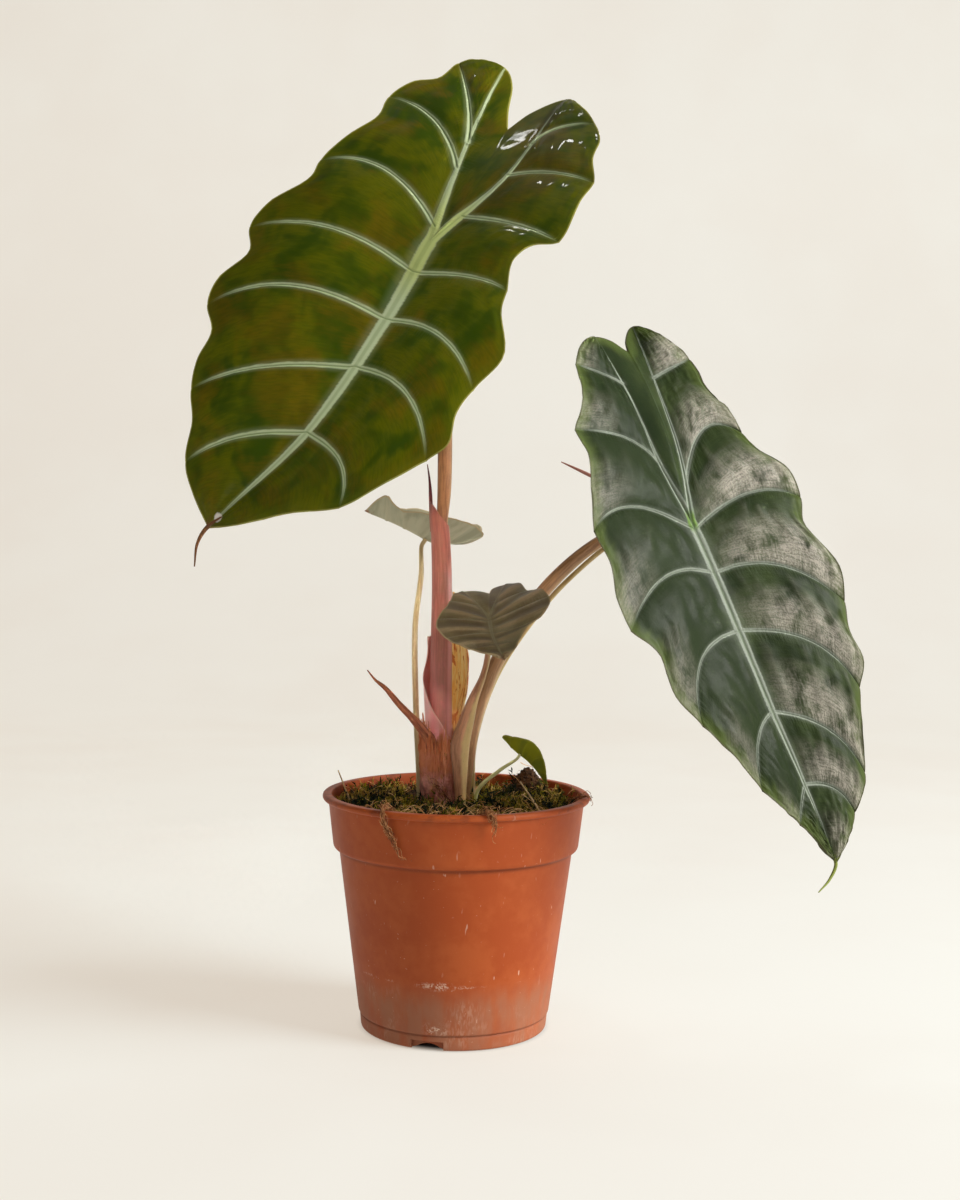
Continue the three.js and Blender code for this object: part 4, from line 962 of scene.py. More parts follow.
def sheath(rows, columns, steps, thickness, flutter):
    """A curved sheet round the stalk. Each row is a height, a radius, the turns of its two edges counted
    from the viewer's left round the front, and how far its rim leans up to the left."""
    line = along(rows, np.linspace(0, 1, steps + 1))
    height, radius, start, end, lean = (line[:, n, None] for n in range(5))
    share = np.linspace(0, 1, columns)
    turn = np.radians(180 + start + (end - start) * share)
    axis = SHEATH_AXIS[0] - 0.0011 * np.maximum(0, height - 190) ** 2
    fringe = np.minimum(share, 1 - share)
    z = height - lean * np.cos(turn)
    wave = flutter * np.sin(0.35 * z + 3 * share) * np.exp(-fringe * 12)
    wall = thickness * np.clip(0.35 + 8 * fringe, 0, 1)
    layers = []
    for depth in (0, 1):
        reach = radius + wave - depth * wall
        layer = np.stack([axis + reach * np.cos(turn), SHEATH_AXIS[1] + reach * np.sin(turn), z], axis=-1)
        layers.append(layer.reshape(-1, 3))
    points, faces = closed_sheet(*layers, columns)
    grain = np.stack([6 * np.cos(turn), 6 * np.sin(turn), z], axis=-1).reshape(-1, 3)
    edge = np.broadcast_to(np.minimum(fringe * 8, 1), turn.shape).ravel()
    return points, faces, np.vstack([grain, grain]), np.concatenate([edge, edge])


def joined(*parts):
    """Several closed meshes as one: each part is points, faces and its marks in the same order."""
    points, faces, marks = [], [], []
    for part_points, part_faces, *part_marks in parts:
        faces += [[corner + len(points) for corner in face] for face in part_faces]
        points += list(np.asarray(part_points, float))
        marks.append(part_marks)
    return points, faces, *(np.concatenate(column) for column in zip(*marks))


pink, recipe, shader = new_finish("pink_sheath", Roughness=0.45, Specular_IOR_Level=0.4, Coat_Weight=0.1,
                                  Coat_Roughness=0.35, Subsurface_Weight=0.4, Subsurface_Scale=2 * MM,
                                  Subsurface_Radius=(1.0, 0.55, 0.5))
grain = recipe.mark("grain", "Vector")
x, _, z = grain.parts()
skin = recipe.use(fibre_grain, {
    "Grain": grain, "Size": 1.0, "Main": colour(194, 116, 98), "Streak": colour(160, 92, 74), "Share": 0.8})
outer = recipe.mark("outer")
# Lower down the sheath is painted a lighter pink: partly the fresher tissue's own colour, partly painted
# light where it lies in the leaves' shade.
fresh_and_lit = z.fade(192.0, 150.0) * outer.fade(0.0, 1.0, 0.3, 0.9)
fresh_and_lit_pink = fresh_and_lit.blend(skin["Color"], colour(255, 158, 158))
middle = x.peak(0.3, 4.2) * grain.speckle(5.0).fade(0.3, 0.6)
browned = (middle * 0.5).blend(fresh_and_lit_pink, colour(164, 112, 84))
# The right side is painted paler, as painted light where the lamp falls on it.
lit_right = x.fade(3.0, 4.6) * z.fade(212.0, 196.0)
lit_wing = (lit_right * 0.8).blend(browned, colour(250, 176, 166))
# The thin wing on the left is painted pale, as painted light that comes through it.
glowing = x.fade(-2.4, -4.4) * z.fade(186.0, 172.0) * outer
winged = (glowing * 0.9).blend(lit_wing, colour(255, 186, 176))
pale_edge = recipe.mark("edge").fade(0.35, 0.0).blend(winged, colour(240, 186, 166))
shader["Base Color"] = z.fade(226.0, 240.0).blend(pale_edge, colour(92, 38, 40))
shader["Normal"] = skin["Height"].relief(0.16)

points, faces, grain, edge = sheath(INNER_SHEATH, 73, 110, SHEATH_WALL, 0.0)
tip_points, tip_faces, tip_grain = stem(SHEATH_POINT, 40, 12)
tip_grain = tip_grain + (0, 0, SHEATH_POINT[0][2])
inner = joined((points, faces, grain, edge), (tip_points, tip_faces, tip_grain, np.ones(len(tip_points))))
inner_sheath = piece_of("sheath_inner_wrap", inner[0], inner[1], {
    "grain": inner[2], "edge": inner[3], "outer": np.zeros(len(inner[0]))}, crease=60)
inner_sheath.data.materials.append(pink)
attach(inner_sheath, "root")
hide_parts("sheath_inner")

points, faces, grain, edge = sheath(OUTER_SHEATH, 61, 90, SHEATH_WALL, 0.35)
outer_sheath = piece_of("sheath_outer_wrap", points, faces, {
    "grain": grain, "edge": edge, "outer": np.ones(len(points))}, crease=60)
outer_sheath.data.materials.append(pink)
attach(outer_sheath, "root")
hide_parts("sheath_outer")

papery, recipe, shader = new_finish("papery_sheath", Roughness=0.7, Specular_IOR_Level=0.3,
                                    Subsurface_Weight=0.5, Subsurface_Scale=3 * MM,
                                    Subsurface_Radius=(1.0, 0.8, 0.6))
grain = recipe.mark("grain", "Vector")
dry = recipe.use(fibre_grain, {
    "Grain": grain, "Size": 1.4, "Main": colour(255, 222, 160), "Streak": colour(244, 180, 106),
    "Share": 0.9})
stained = grain.stretched(1.0, 1.0, 6.0).speckle(1.6, 4.0, 0.6).fade(0.51, 0.57)
shader["Base Color"] = (stained * 0.9).blend(dry["Color"], colour(186, 92, 36))
wrinkles = dry["Height"] * 0.6 + grain.speckle(2.2, 4.0) * 0.6
shader["Normal"] = wrinkles.relief(0.5)
points, faces, grain, edge = sheath(DRY_CATAPHYLL, 45, 90, SCALE_WALL, 0.5)
points[:, 1] += 0.7 * ripple(grain[:, 0], grain[:, 2], 4.5, 2.0)
cataphyll = piece_of("cataphyll_scale", points, faces, {"grain": grain, "edge": edge}, crease=60)
cataphyll.data.materials.append(papery)
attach(cataphyll, "root")
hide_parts("cataphyll_dry")

# The withered spike and the torn leaf bases
# A dead sheath has shrunk to a red-brown twisted spike that leans out to the left, with a hair for a tip.
# Round its foot the stump wears ragged, fibrous scraps of older leaf bases.
WITHERED_SPIKE = [(-11, -3.2, 123, 3.2, 1.6), (-12.6, -4.4, 129.6, 2.6, 1.4), (-15.2, -6.2, 133, 2.1, 1.2),
                  (-20, -8, 139, 1.7, 1), (-25.5, -9.5, 145, 1.3, 0.8), (-32, -11, 152.8, 1, 0.6),
                  (-36.5, -12, 156.6, 0.45), (-40, -12, 160.7, 0.15)]
TORN_BASES = [
    {"turn": 12, "foot": 99, "height": 33, "width": 60, "radius": 7.4, "flare": 1.2},
    {"turn": 40, "foot": 110, "height": 26, "width": 50, "radius": 7.8, "flare": 1.1},
    {"turn": 62, "foot": 108, "height": 25, "width": 44, "radius": 8.2, "flare": 1.3},
    {"turn": 86, "foot": 104, "height": 24, "width": 44, "radius": 8.3, "flare": 1.3},
    {"turn": 114, "foot": 105, "height": 27, "width": 46, "radius": 8.3, "flare": 0.4},
    {"turn": 98, "foot": 112, "height": 20, "width": 26, "radius": 7.9, "flare": 0.4},
    {"turn": 144, "foot": 97, "height": 28, "width": 54, "radius": 8.5, "flare": 0.6},
    {"turn": 106, "foot": 95, "height": 15, "width": 60, "radius": 8.6, "flare": 1.3},
    {"turn": 230, "foot": 98, "height": 22, "width": 80, "radius": 8.4, "flare": 0.8},
]
STUMP_AXIS = (-8.6, 2.2)
SCRAP_WALL = 0.4
STUMP_FIBRES = [(-14.5, -3.5, 113), (-11, -6.2, 110.5), (-6.5, -6.8, 106.5), (-2.6, -5.4, 102),
                (-0.6, -4, 99)]


def dried_relief(turn, way):
    """Deep lengthwise folds of a shrunken sheath."""
    shrink = np.exp(-way / 45)
    return shrink * (0.35 * np.sin(3 * turn + 0.12 * way) + 0.2 * np.sin(7 * turn - 0.3 * way))


def torn_base(turn, foot, height, width, radius, flare):
    """A scrap of an old leaf base: a curved scale with a ragged top."""
    columns, rows = 25, 26
    across, up = np.meshgrid(np.linspace(-1, 1, columns), np.linspace(0, 1, rows))
    ragged = 1 - 0.3 * across**2 + 0.14 * np.sin(9 * across + turn) + 0.12 * np.sin(21 * across + 2 * turn)
    z = foot + height * up * ragged
    angle = np.radians(turn + 180 + across * width / 2 * (1 - 0.45 * up**2))
    crumple = 0.35 * np.sin(7 * across + 0.5 * z) + 0.25 * np.sin(15 * across + turn)
    layers = []
    for depth in (0, SCRAP_WALL):
        reach = radius + flare * up**2 + crumple - depth
        layer = np.stack([STUMP_AXIS[0] + reach * np.cos(angle), STUMP_AXIS[1] + reach * np.sin(angle), z],
                         axis=-1)
        layers.append(layer.reshape(-1, 3))
    points, faces = closed_sheet(*layers, columns)
    grain = np.stack([8 * np.cos(angle), 8 * np.sin(angle), z], axis=-1).reshape(-1, 3)
    return points, faces, np.vstack([grain, grain])


withered, recipe, shader = new_finish("withered_sheath", Roughness=0.68, Specular_IOR_Level=0.35)
grain = recipe.mark("grain", "Vector")
dead = recipe.use(fibre_grain, {
    "Grain": grain, "Size": 1.2, "Main": colour(172, 98, 66), "Streak": colour(112, 58, 40), "Share": 0.9})
orange = recipe.place().speckle(5.0, 3.0).fade(0.46, 0.62)
shader["Base Color"] = (orange * 0.55).blend(dead["Color"], colour(178, 112, 70))
shader["Normal"] = dead["Height"].relief(0.35)
points, faces, grain = stem(WITHERED_SPIKE, 150, 28, dried_relief)
spike = piece_of("spike_of_withered_sheath", points, faces, {"grain": grain}, crease=60)
points, faces, grain = joined(*(torn_base(**scrap) for scrap in TORN_BASES))
scraps = piece_of("torn_leaf_bases", points, faces, {"grain": grain}, crease=60)
spike.data.materials.append(withered)
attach(spike, "root")
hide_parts("spike_withered")

torn, recipe, shader = new_finish("torn_base", Roughness=0.75, Specular_IOR_Level=0.3)
place = recipe.place()
z = place.parts()[2]
fibrous = recipe.use(fibre_grain, {
    "Grain": recipe.mark("grain", "Vector"), "Size": 0.6, "Main": colour(212, 134, 90),
    "Streak": colour(192, 112, 74), "Share": 0.3})
mauve = recipe.use(mottle, {
    "Place": place, "Size": 6.0, "Main": colour(220, 152, 138), "Other": colour(166, 98, 84), "Share": 1.0})
low = (z + place.speckle(6.0, 2.0) * 24.0).fade(136.0, 118.0)
shader["Base Color"] = (low * 0.9).blend(fibrous["Color"], mauve["Color"])
shader["Normal"] = fibrous["Height"].relief(0.14)
scraps.data.materials.append(torn)
wool = grown("stump_fibres", path_mesh("path", STUMP_FIBRES), bundle, {
    "Fibres": 44, "Spread": 11 * MM, "Curl": 150.0, "Thickness": 0.09 * MM, "Shortest": 0.5, "Seed": 21,
    "Finish": dead_root})
for piece in (scraps, wool):
    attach(piece, "root")

# The blades
# Thick, glossy, quilted arrow-shaped leaves with pale veins, which grew as one sheet each. The veins part
# every blade into panels that bulge between them, and stand out below. Each meets its stalk at the joint.

# A blade is drawn in its own plane in millimetres, x from the joint to the tip and y to the viewer's
# right. A side vein is its root on the spine, a middle point, its end on the edge, and the points of the
# edge before it. The rest says how a blade bends, folds, cups, quilts and puckers, and how wide veins are.
TALL_LEAF = {
    "bend": (420, 300), "fold": 0.3, "crease": 8, "cup": 0.0016, "quilt": 2.6, "pucker": 0.5,
    "raised": 0.9, "channel": 0.0, "midrib": [(0, 0), (40, 6), (100, 3), (158, -21)],
    "sinus": (-72, -13), "rib_width": 3.7, "vein_width": 1.2,
    "halves": [
        {"rib": [(0, 0), (-40, -16), (-105, -42)], "sinus_edge": [(-82, -21), (-98, -32)], "veins": [
            (-55, (-74, -37), (-94, -60), [(-102, -53)]),
            (-40, (-57, -43), (-57, -70), [(-80, -59), (-70, -67)]),
            (-8, (-21, -42), (-10, -72), [(-43, -65), (-28, -69)]),
            (16, (17, -43), (35, -80), [(1, -69), (21, -79)]),
            (41, (50, -43), (76, -75), [(46, -71), (64, -77)]),
            (66, (88, -33), (112, -59), [(86, -64), (100, -63)]),
            (101, (119, -27), (140, -45), [(124, -50)])], "tip_edge": [(150, -34)]},
        {"rib": [(0, 0), (-44, 10), (-101, -2)], "sinus_edge": [(-87, -11)], "veins": [
            (-67, (-80, 11), (-90, 26), [(-98, 11)]),
            (-46, (-54, 31), (-56, 54), [(-80, 38), (-68, 44)]),
            (-18, (-22, 36), (-21, 62), [(-43, 57)]),
            (16, (9, 33), (9, 56), [(-14, 52), (-5, 49)]),
            (41, (39, 40), (55, 72), [(19, 61), (37, 76)]),
            (66, (68, 42), (90, 71), [(67, 72), (80, 77)]),
            (101, (107, 31), (124, 43), [(108, 58)])], "tip_edge": [(136, 20), (150, -3)]}],
    "drip": [(148, -14, 0.8), (158, -22, 1), (166, -23, 0.7), (175, -19, 0.3)],
}
ARCHING_LEAF = {
    "bend": (420, 320), "fold": 0.32, "crease": 8, "cup": 0.0018, "quilt": 4, "pucker": 1.1,
    "raised": 0.5, "channel": 0.7, "midrib": [(0, 0), (42, 2), (85, 6), (119, 12), (155, 19)],
    "sinus": (-82, 11), "rib_width": 2.2, "vein_width": 0.8,
    "halves": [
        {"rib": [(0, 0), (-27, -3), (-59, -1), (-92, -1)], "sinus_edge": [(-89, 6)], "veins": [
            (-67, (-73, -9), (-80, -20), [(-89, -12)]),
            (-28, (-42, -15), (-50, -38), [(-68, -25), (-58, -31)]),
            (4, (-12, -28), (-6, -51), [(-37, -39), (-22, -45)]),
            (24, (20, -26), (37, -52), [(9, -51), (24, -54)]),
            (50, (57, -23), (82, -33), [(49, -44), (66, -43)]),
            (86, (96, -7), (115, -12), [(98, -23)]),
            (119, (127, 7), (134, 4), [(126, -4)])], "tip_edge": [(149, 13)]},
        {"rib": [(0, 0), (-27, 8), (-60, 14), (-93, 20)], "sinus_edge": [(-87, 13)], "veins": [
            (-66, (-68, 26), (-69, 34), [(-83, 28)]),
            (-15, (-36, 23), (-29, 38), [(-52, 33), (-40, 37)]),
            (4, (-3, 29), (6, 50), [(-20, 40), (-8, 49)]),
            (24, (30, 29), (54, 52), [(17, 46), (38, 54)]),
            (50, (64, 31), (90, 47), [(65, 49), (80, 51)]),
            (86, (101, 28), (124, 40), [(106, 42)]),
            (119, (125, 25), (138, 32), [])], "tip_edge": [(147, 26)]}],
    "drip": [(148, 17, 0.8), (155, 19, 0.8), (160, 14, 0.6), (163, 6, 0.25)],
}
BACK_LEAF = {
    "bend": (150, -24), "fold": 0.9, "crease": 2.5, "cup": 0.005, "quilt": 1, "pucker": 0.3,
    "raised": 0.0, "channel": 0.25, "midrib": [(0, 0), (15, 0), (31, 0)], "sinus": (-16, 0),
    "rib_width": 1.1, "vein_width": 0.6,
    "halves": [
        {"rib": [(0, 0), (-11, -3), (-22, -7)], "sinus_edge": [(-20, -3)], "veins": [
            (-9, (-12, -9), (-14, -15), [(-20, -12)]), (2, (0, -9), (1, -16), [(-7, -17)]),
            (11, (12, -6), (14, -11), [(8, -14)]), (20, (22, -3), (24, -6), [(19, -8)])],
         "tip_edge": [(28, -3)]},
        {"rib": [(0, 0), (-11, 3), (-22, 6)], "sinus_edge": [(-20, 3)], "veins": [
            (-9, (-12, 10), (-14, 17), [(-20, 10)]), (2, (1, 9), (2, 16), [(-6, 19)]),
            (11, (14, 6), (16, 10), [(9, 13)]), (20, (23, 8), (26, 15), [(21, 11)])],
         "tip_edge": [(29, 10)]}],
}
FRONT_LEAF = {
    "bend": (90, 90), "fold": 0.12, "crease": 5, "cup": 0.004, "quilt": 1.4, "pucker": 0.35, "ribs": 1.5,
    "raised": 0.25, "channel": 0.0, "midrib": [(0, 0), (13, 0), (26, 3)], "sinus": (-23, 3),
    "rib_width": 0.9, "vein_width": 0.6,
    "halves": [
        {"rib": [(0, 0), (-14, -4), (-28, -8)], "sinus_edge": [(-27, -1)], "veins": [
            (-11, (-15, -10), (-18, -15), [(-25, -12)]), (2, (-1, -12), (-3, -22), [(-10, -18)]),
            (10, (10, -10), (11, -20), [(5, -23)]), (17, (18, -6), (19, -11), [(16, -16)])],
         "tip_edge": [(23, -4)]},
        {"rib": [(0, 0), (-15, 5), (-33, 11)], "sinus_edge": [(-29, 5)], "veins": [
            (-11, (-17, 12), (-21, 20), [(-31, 17)]), (2, (-5, 14), (-14, 28), [(-21, 25)]),
            (10, (9, 11), (3, 22), [(-5, 27)]), (17, (17, 6), (16, 11), [(9, 16)])],
         "tip_edge": [(22, 8)]}],
}


def even_leaf(length, back, half_width, notch, taper=1, **form):
    """A small leaf of even shape, from its length before the joint, its length behind it and its half
    width. Its lobes' ends are `taper` times as wide."""
    halves = []
    for side in (-1, 1):
        def at(x, y):
            reach = half_width * (1 + x * (1 - taper) if x < 0 else 1)
            return (x * (back if x < 0 else length), side * y * reach)
        veins = [(-0.45 * back, at(-0.62, 0.5), at(-0.66, 0.86), [at(-0.93, 0.66)]),
                 (0.08 * length, at(-0.02, 0.55), at(0.02, 1), [at(-0.33, 0.95)]),
                 (0.34 * length, at(0.36, 0.45), at(0.48, 0.8), [at(0.27, 0.95)]),
                 (0.64 * length, at(0.68, 0.25), at(0.78, 0.4), [at(0.64, 0.6)])]
        halves.append({"rib": [(0, 0), at(-0.5, 0.16), at(-1, 0.4)], "sinus_edge": [at(-0.95, 0.2)],
                       "veins": veins, "tip_edge": [at(0.9, 0.18)]})
    return {"midrib": [(0, 0), (length / 2, 0), (length, 0)], "sinus": (-notch, 0), "halves": halves, **form}


REAR_LEAF = even_leaf(36, 26, 21, 18, bend=(500, 90), fold=0.2, crease=5, cup=0.004, quilt=1.2, pucker=0.4,
                      raised=0.0, channel=0.2, rib_width=1.1, vein_width=0.6,
                      drip=[(32, 0, 0.6), (37, 0, 0.8), (44, 0.5, 0.6), (51, 1, 0.25)])
SEEDLING_LEAF = even_leaf(18.5, 11, 10.5, 8, 0.45, bend=(32, -90), fold=0.85, crease=2, cup=0.01, quilt=0.5,
                          pucker=0.15, raised=0.0, channel=0.15, rib_width=0.7, vein_width=0.35)


PANEL_CROWD = 0.75
OUTWARD_CROWD = 0.8
STREAK_SHIFT = 61
WELD = 1e-3
# For the left and the right half, how far out the painted sheen on the panels' shoulders starts and how full
# it is.
SHOULDERS = [(0.5, 0.4), (0, 1)]


def crowded(count, crowd):
    """Shares from 0 to 1, closer together at both ends."""
    share = np.linspace(0, 1, count + 1)
    return share - crowd * np.sin(2 * np.pi * share) / (2 * np.pi)


def share_at_x(curve, x):
    """How far along a curve its x is reached."""
    shares = np.linspace(0, 1, 3001)
    reached = along(curve, shares)[:, 0]
    if reached[-1] < reached[0]:
        return np.interp(-x, -reached, shares)
    return np.interp(x, reached, shares)


class HalfPlan:
    """One half of a blade's plan: its spine, its side veins and its edge as functions of a share. Its marks
    say which points of the edge end a vein, and its roots where the veins leave the spine."""

    def __init__(self, leaf, half):
        self.midrib, self.rib = leaf["midrib"], half["rib"]
        self.veins = half["veins"]
        self.tip = np.array(self.midrib[-1], float)
        self.lobe_end = np.array(self.rib[-1], float)
        self.edge = [leaf["sinus"], *half["sinus_edge"], self.rib[-1]]
        self.marks = [len(self.edge) - 1]
        for _, _, end, before in self.veins:
            self.edge += [*before, end]
            self.marks.append(len(self.edge) - 1)
        self.edge += [*half["tip_edge"], tuple(self.tip)]
        self.marks.append(len(self.edge) - 1)
        self.roots = [self.rib[-1][0], *(vein[0] for vein in self.veins), self.tip[0]]
        self.joint_panel = sum(vein[0] < 0 for vein in self.veins)

    def spine(self, x):
        """Places on the midrib before the joint, or on the lobe's rib behind it."""
        x = np.asarray(x, float)
        behind = along(self.rib, share_at_x(self.rib, np.minimum(x, 0)))
        ahead = along(self.midrib, share_at_x(self.midrib, np.maximum(x, 0)))
        return np.where((x < 0)[..., None], behind, ahead)

    def on_spine(self, panel, u):
        """Places on the spine between a panel's two veins. One panel goes round the joint."""
        start, end = self.roots[panel:panel + 2]
        if panel != self.joint_panel:
            return self.spine(start + (end - start) * u)
        return self.spine(np.where(u < 0.5, start * (1 - 2 * u), end * (2 * u - 1)))

    def on_edge(self, panel, u):
        """Places on the edge between a panel's two veins."""
        mark = self.marks[panel] + (self.marks[panel + 1] - self.marks[panel]) * u
        return along(self.edge, mark / (len(self.edge) - 1))

    def on_sinus(self, u):
        """Places on the edge of the notch behind the joint, from its bottom to the lobe's end."""
        return along(self.edge, u * self.marks[0] / (len(self.edge) - 1))

    def on_vein(self, number, v):
        """Places on a side vein. The first and the last are the lobe's end and the tip."""
        if number == 0:
            return np.broadcast_to(self.lobe_end, (*v.shape, 2))
        if number > len(self.veins):
            return np.broadcast_to(self.tip, (*v.shape, 2))
        root, middle, end, _ = self.veins[number - 1]
        start, end = self.spine(root), np.array(end, float)
        pull = 2 * np.array(middle, float) - 0.5 * start - 0.5 * end
        v = v[..., None]
        return (1 - v) ** 2 * start + 2 * v * (1 - v) * pull + v**2 * end

    def panel(self, number, u, v):
        """Places over one panel, u from its first vein to its second and v from the spine to the edge."""
        place = self.on_vein(number, v) * (1 - u)[..., None] + self.on_vein(number + 1, v) * u[..., None]
        place = place + self.on_spine(number, u) * (1 - v)[..., None] + self.on_edge(number, u) * v[..., None]
        for s in (0.0, 1.0):
            for side, weight in ((self.on_spine, 1 - v), (self.on_edge, v)):
                place = place - side(number, np.array(s)) * ((u if s else 1 - u) * weight)[..., None]
        return place


def half_panels(half, first, u, v, clear, full, ribs):
    """The panels of one half, each a grid of places, its marks and its streaks. The marks are how much a
    place shares in the bulge of its panel, how it puckers, and whether it lies on the panel's shoulder
    before the next side vein, where painted sheen goes. The shoulder starts a clear share of the way from the
    spine."""
    swell = np.sin(np.pi * u) ** 0.7 * (1 - (1 - v) ** 3) * (1 - 0.45 * v**3)
    shoulder = (full * np.clip((u - 0.3) / 0.4, 0, 1) * np.clip((1 - u) / 0.05, 0, 1)
                * np.clip((v - clear) / 0.35, 0, 1))
    middle = len(u) // 2
    panels = []
    for number in range(len(half.veins) + 1):
        grid = half.panel(number, u, v)
        wide = (np.linalg.norm(grid[-1, -1] - grid[0, -1]) * 0.6
                + 0.4 * np.linalg.norm(grid[-1, 0] - grid[0, 0]))
        long = np.linalg.norm(grid[middle, -1] - grid[middle, 0])
        streak = np.stack([u * wide + STREAK_SHIFT * (first + number), v * long], axis=-1)
        if ribs:
            folds = np.sin(math.tau * (ribs * u + 0.3 * v))
        else:
            folds = ripple(streak[..., 0].ravel() / 2.6, streak[..., 1].ravel(), 0.09 * long, 3.7, 2)
            folds = folds.reshape(u.shape)
        folds = folds * np.sin(np.pi * u) ** 0.6 * np.clip(v / 0.15, 0, 1)
        panels.append((grid, np.stack([swell, folds, shoulder], axis=-1), streak))
    return panels


def sinus_panel(halves, across):
    """The panel between the ribs of the two lobes, from the joint back to the notch."""
    to_joint = halves[0].joint_panel
    shares = crowded(across, PANEL_CROWD)
    steps = np.concatenate([*(shares[:-1] + panel for panel in range(to_joint)),
                            to_joint + shares[shares <= 0.5]])
    ribs = []
    for half in halves:
        panel = np.minimum(steps.astype(int), half.joint_panel)
        ribs.append(np.array([half.on_spine(p, np.array(s - p)) for p, s in zip(panel, steps)]))
    s = np.linspace(0, 1, 2 * (across // 2) + 1)
    between = ribs[0][:, None] * (1 - s)[:, None] + ribs[1][:, None] * s[:, None]
    notch = np.where((s < 0.5)[:, None], halves[0].on_sinus(np.clip(1 - 2 * s, 0, 1)),
                     halves[1].on_sinus(np.clip(2 * s - 1, 0, 1)))
    reach = between[..., 0] / between[0, :, 0]
    grid = between + (notch - between[0]) * reach[..., None]
    lifted = 0.8 * np.sin(np.pi * s)[None] * np.sin(np.pi * np.clip(reach, 0, 1)) ** 0.7
    marks = np.stack([lifted, 0 * lifted, 0 * lifted], axis=-1)
    return grid, marks, np.stack([grid[..., 1], -grid[..., 0]], axis=-1)


def welded(panels):
    """One sheet of all panels: its places, their marks, its faces with all turned alike, and at each of
    their corners the millimetres across and along the panel."""
    places = np.vstack([grid.reshape(-1, 2) for grid, _, _ in panels])
    marks = np.vstack([marks.reshape(-1, 3) for _, marks, _ in panels])
    streaks = np.vstack([streak.reshape(-1, 2) for _, _, streak in panels])
    _, kept, shared = np.unique(np.round(places / WELD), axis=0, return_index=True, return_inverse=True)
    shared = shared.ravel()
    faces, corners, start = [], [], 0
    for grid, _, _ in panels:
        index = np.arange(grid[..., 0].size).reshape(grid.shape[:2]) + start
        start += index.size
        quads = np.stack([index[:-1, :-1], index[1:, :-1], index[1:, 1:], index[:-1, 1:]], axis=-1)
        for quad in quads.reshape(-1, 4):
            seen = [n for k, n in enumerate(quad) if shared[n] != shared[quad[k - 1]]]
            if len(seen) < 3:
                continue
            x, y = places[seen].T
            turned_left = np.sum(x * np.roll(y, -1) - np.roll(x, -1) * y)
            seen = seen if turned_left > 0 else seen[::-1]
            faces.append([int(shared[n]) for n in seen])
            corners.append(streaks[seen])
    return places[kept], marks[kept].T, faces, corners


def blade_plan(leaf, across, outward):
    """The two halves of a blade and its plan as one sheet, with its marks, faces and streaks."""
    halves = [HalfPlan(leaf, half) for half in leaf["halves"]]
    u, v = np.meshgrid(crowded(across, PANEL_CROWD), crowded(outward, OUTWARD_CROWD), indexing="ij")
    panels = []
    for half, (clear, full) in zip(halves, SHOULDERS):
        panels += half_panels(half, len(panels), u, v, clear, full, leaf.get("ribs", 0))
    panels.append(sinus_panel(halves, across))
    return halves, *welded(panels)


def nearest(places, curve):
    """How far each place is from a curve of samples, and which sample is the nearest."""
    tree = KDTree(len(curve))
    for number, (x, y) in enumerate(curve):
        tree.insert((x, y, 0), number)
    tree.balance()
    found = [tree.find((x, y, 0)) for x, y in places]
    return np.array([hit[2] for hit in found]), np.array([hit[1] for hit in found])


def rim(off, width):
    """1 at a curve's middle, falling smoothly to 0 at that many of its half widths."""
    return np.clip(1 - (off / width) ** 2, 0, 1) ** 2


def near_veins(leaf, halves, places):
    """How near each place is to the spine and to a side vein, in their half widths there, how far along
    them it is, and how many millimetres it is from the edge."""
    share = np.linspace(0, 1, 260)
    spines = [along(half.rib, share) for half in halves] + [along(leaf["midrib"], share)]
    spine_off, sample = nearest(places, np.vstack(spines))
    spine_share = share[sample % len(share)]
    ahead = sample >= 2 * len(share)
    spine_taper = 1 - 0.92 * spine_share ** np.where(ahead, 1.6, 0.37)
    veins = [half.on_vein(number, share) for half in halves for number in range(1, len(half.veins) + 1)]
    vein_off, sample = nearest(places, np.vstack(veins))
    vein_share = share[sample % len(share)]
    edges = [along(half.edge, np.linspace(0, 1, 1600)) for half in halves]
    margin, _ = nearest(places, np.vstack(edges))
    return {"spine": spine_off / (leaf["rib_width"] * spine_taper), "spine_share": spine_share,
            "vein": vein_off / (leaf["vein_width"] * (1 - 0.5 * vein_share)), "vein_share": vein_share,
            "margin": margin}


def off_middle(leaf, x, y):
    """How far a place lies to the right of the middle line, which runs from the notch to the tip."""
    line = along(leaf["midrib"], np.linspace(0, 1, 3001))
    ahead = np.interp(x, line[:, 0], line[:, 1])
    return y - np.where(x > 0, ahead, x * leaf["sinus"][1] / leaf["sinus"][0])


def bent_sheet(leaf, x, off):
    """The height of a blade over its own plane, without its panels and veins."""
    bent = -(x**2) / (2 * np.where(x > 0, *leaf["bend"])) - leaf["cup"] * off**2
    return bent + leaf["fold"] * (np.hypot(off, leaf["crease"]) - leaf["crease"])


def blade_faces(name, leaf, places, bulge, pucker, near):
    """The heights of a blade's upper and lower face: quilted panels, with veins that stand out below."""
    x, y = places.T
    height = bent_sheet(leaf, x, off_middle(leaf, x, y)) + leaf["quilt"] * bulge
    height = height + leaf["pucker"] * pucker
    spine, vein = near["spine"], near["vein"]
    size = 1 - 0.8 * near["spine_share"]
    fading = np.clip(1.15 - near["vein_share"], 0, 1)
    upper = height + leaf["raised"] * size * rim(spine, 1.25) - leaf["channel"] * size * rim(spine, 0.6)
    upper = upper + fading * leaf["vein_width"] * (0.16 * rim(vein, 1.7) - 0.34 * rim(vein, 0.7))
    upper = upper + 0.1 * min(1, leaf["quilt"] / 2) * ripple(x, y, 4.2, 5.5, 2) * np.clip(vein - 1, 0, 1)
    thickness = 0.25 + 0.4 * np.clip(near["margin"] / 2.5, 0, 1)
    keel = KEELS[name] * (size * rim(spine, 1.3) + 0.42 * fading * rim(vein, 1.5))
    return upper, height - thickness - np.minimum(keel, KEELS[name])


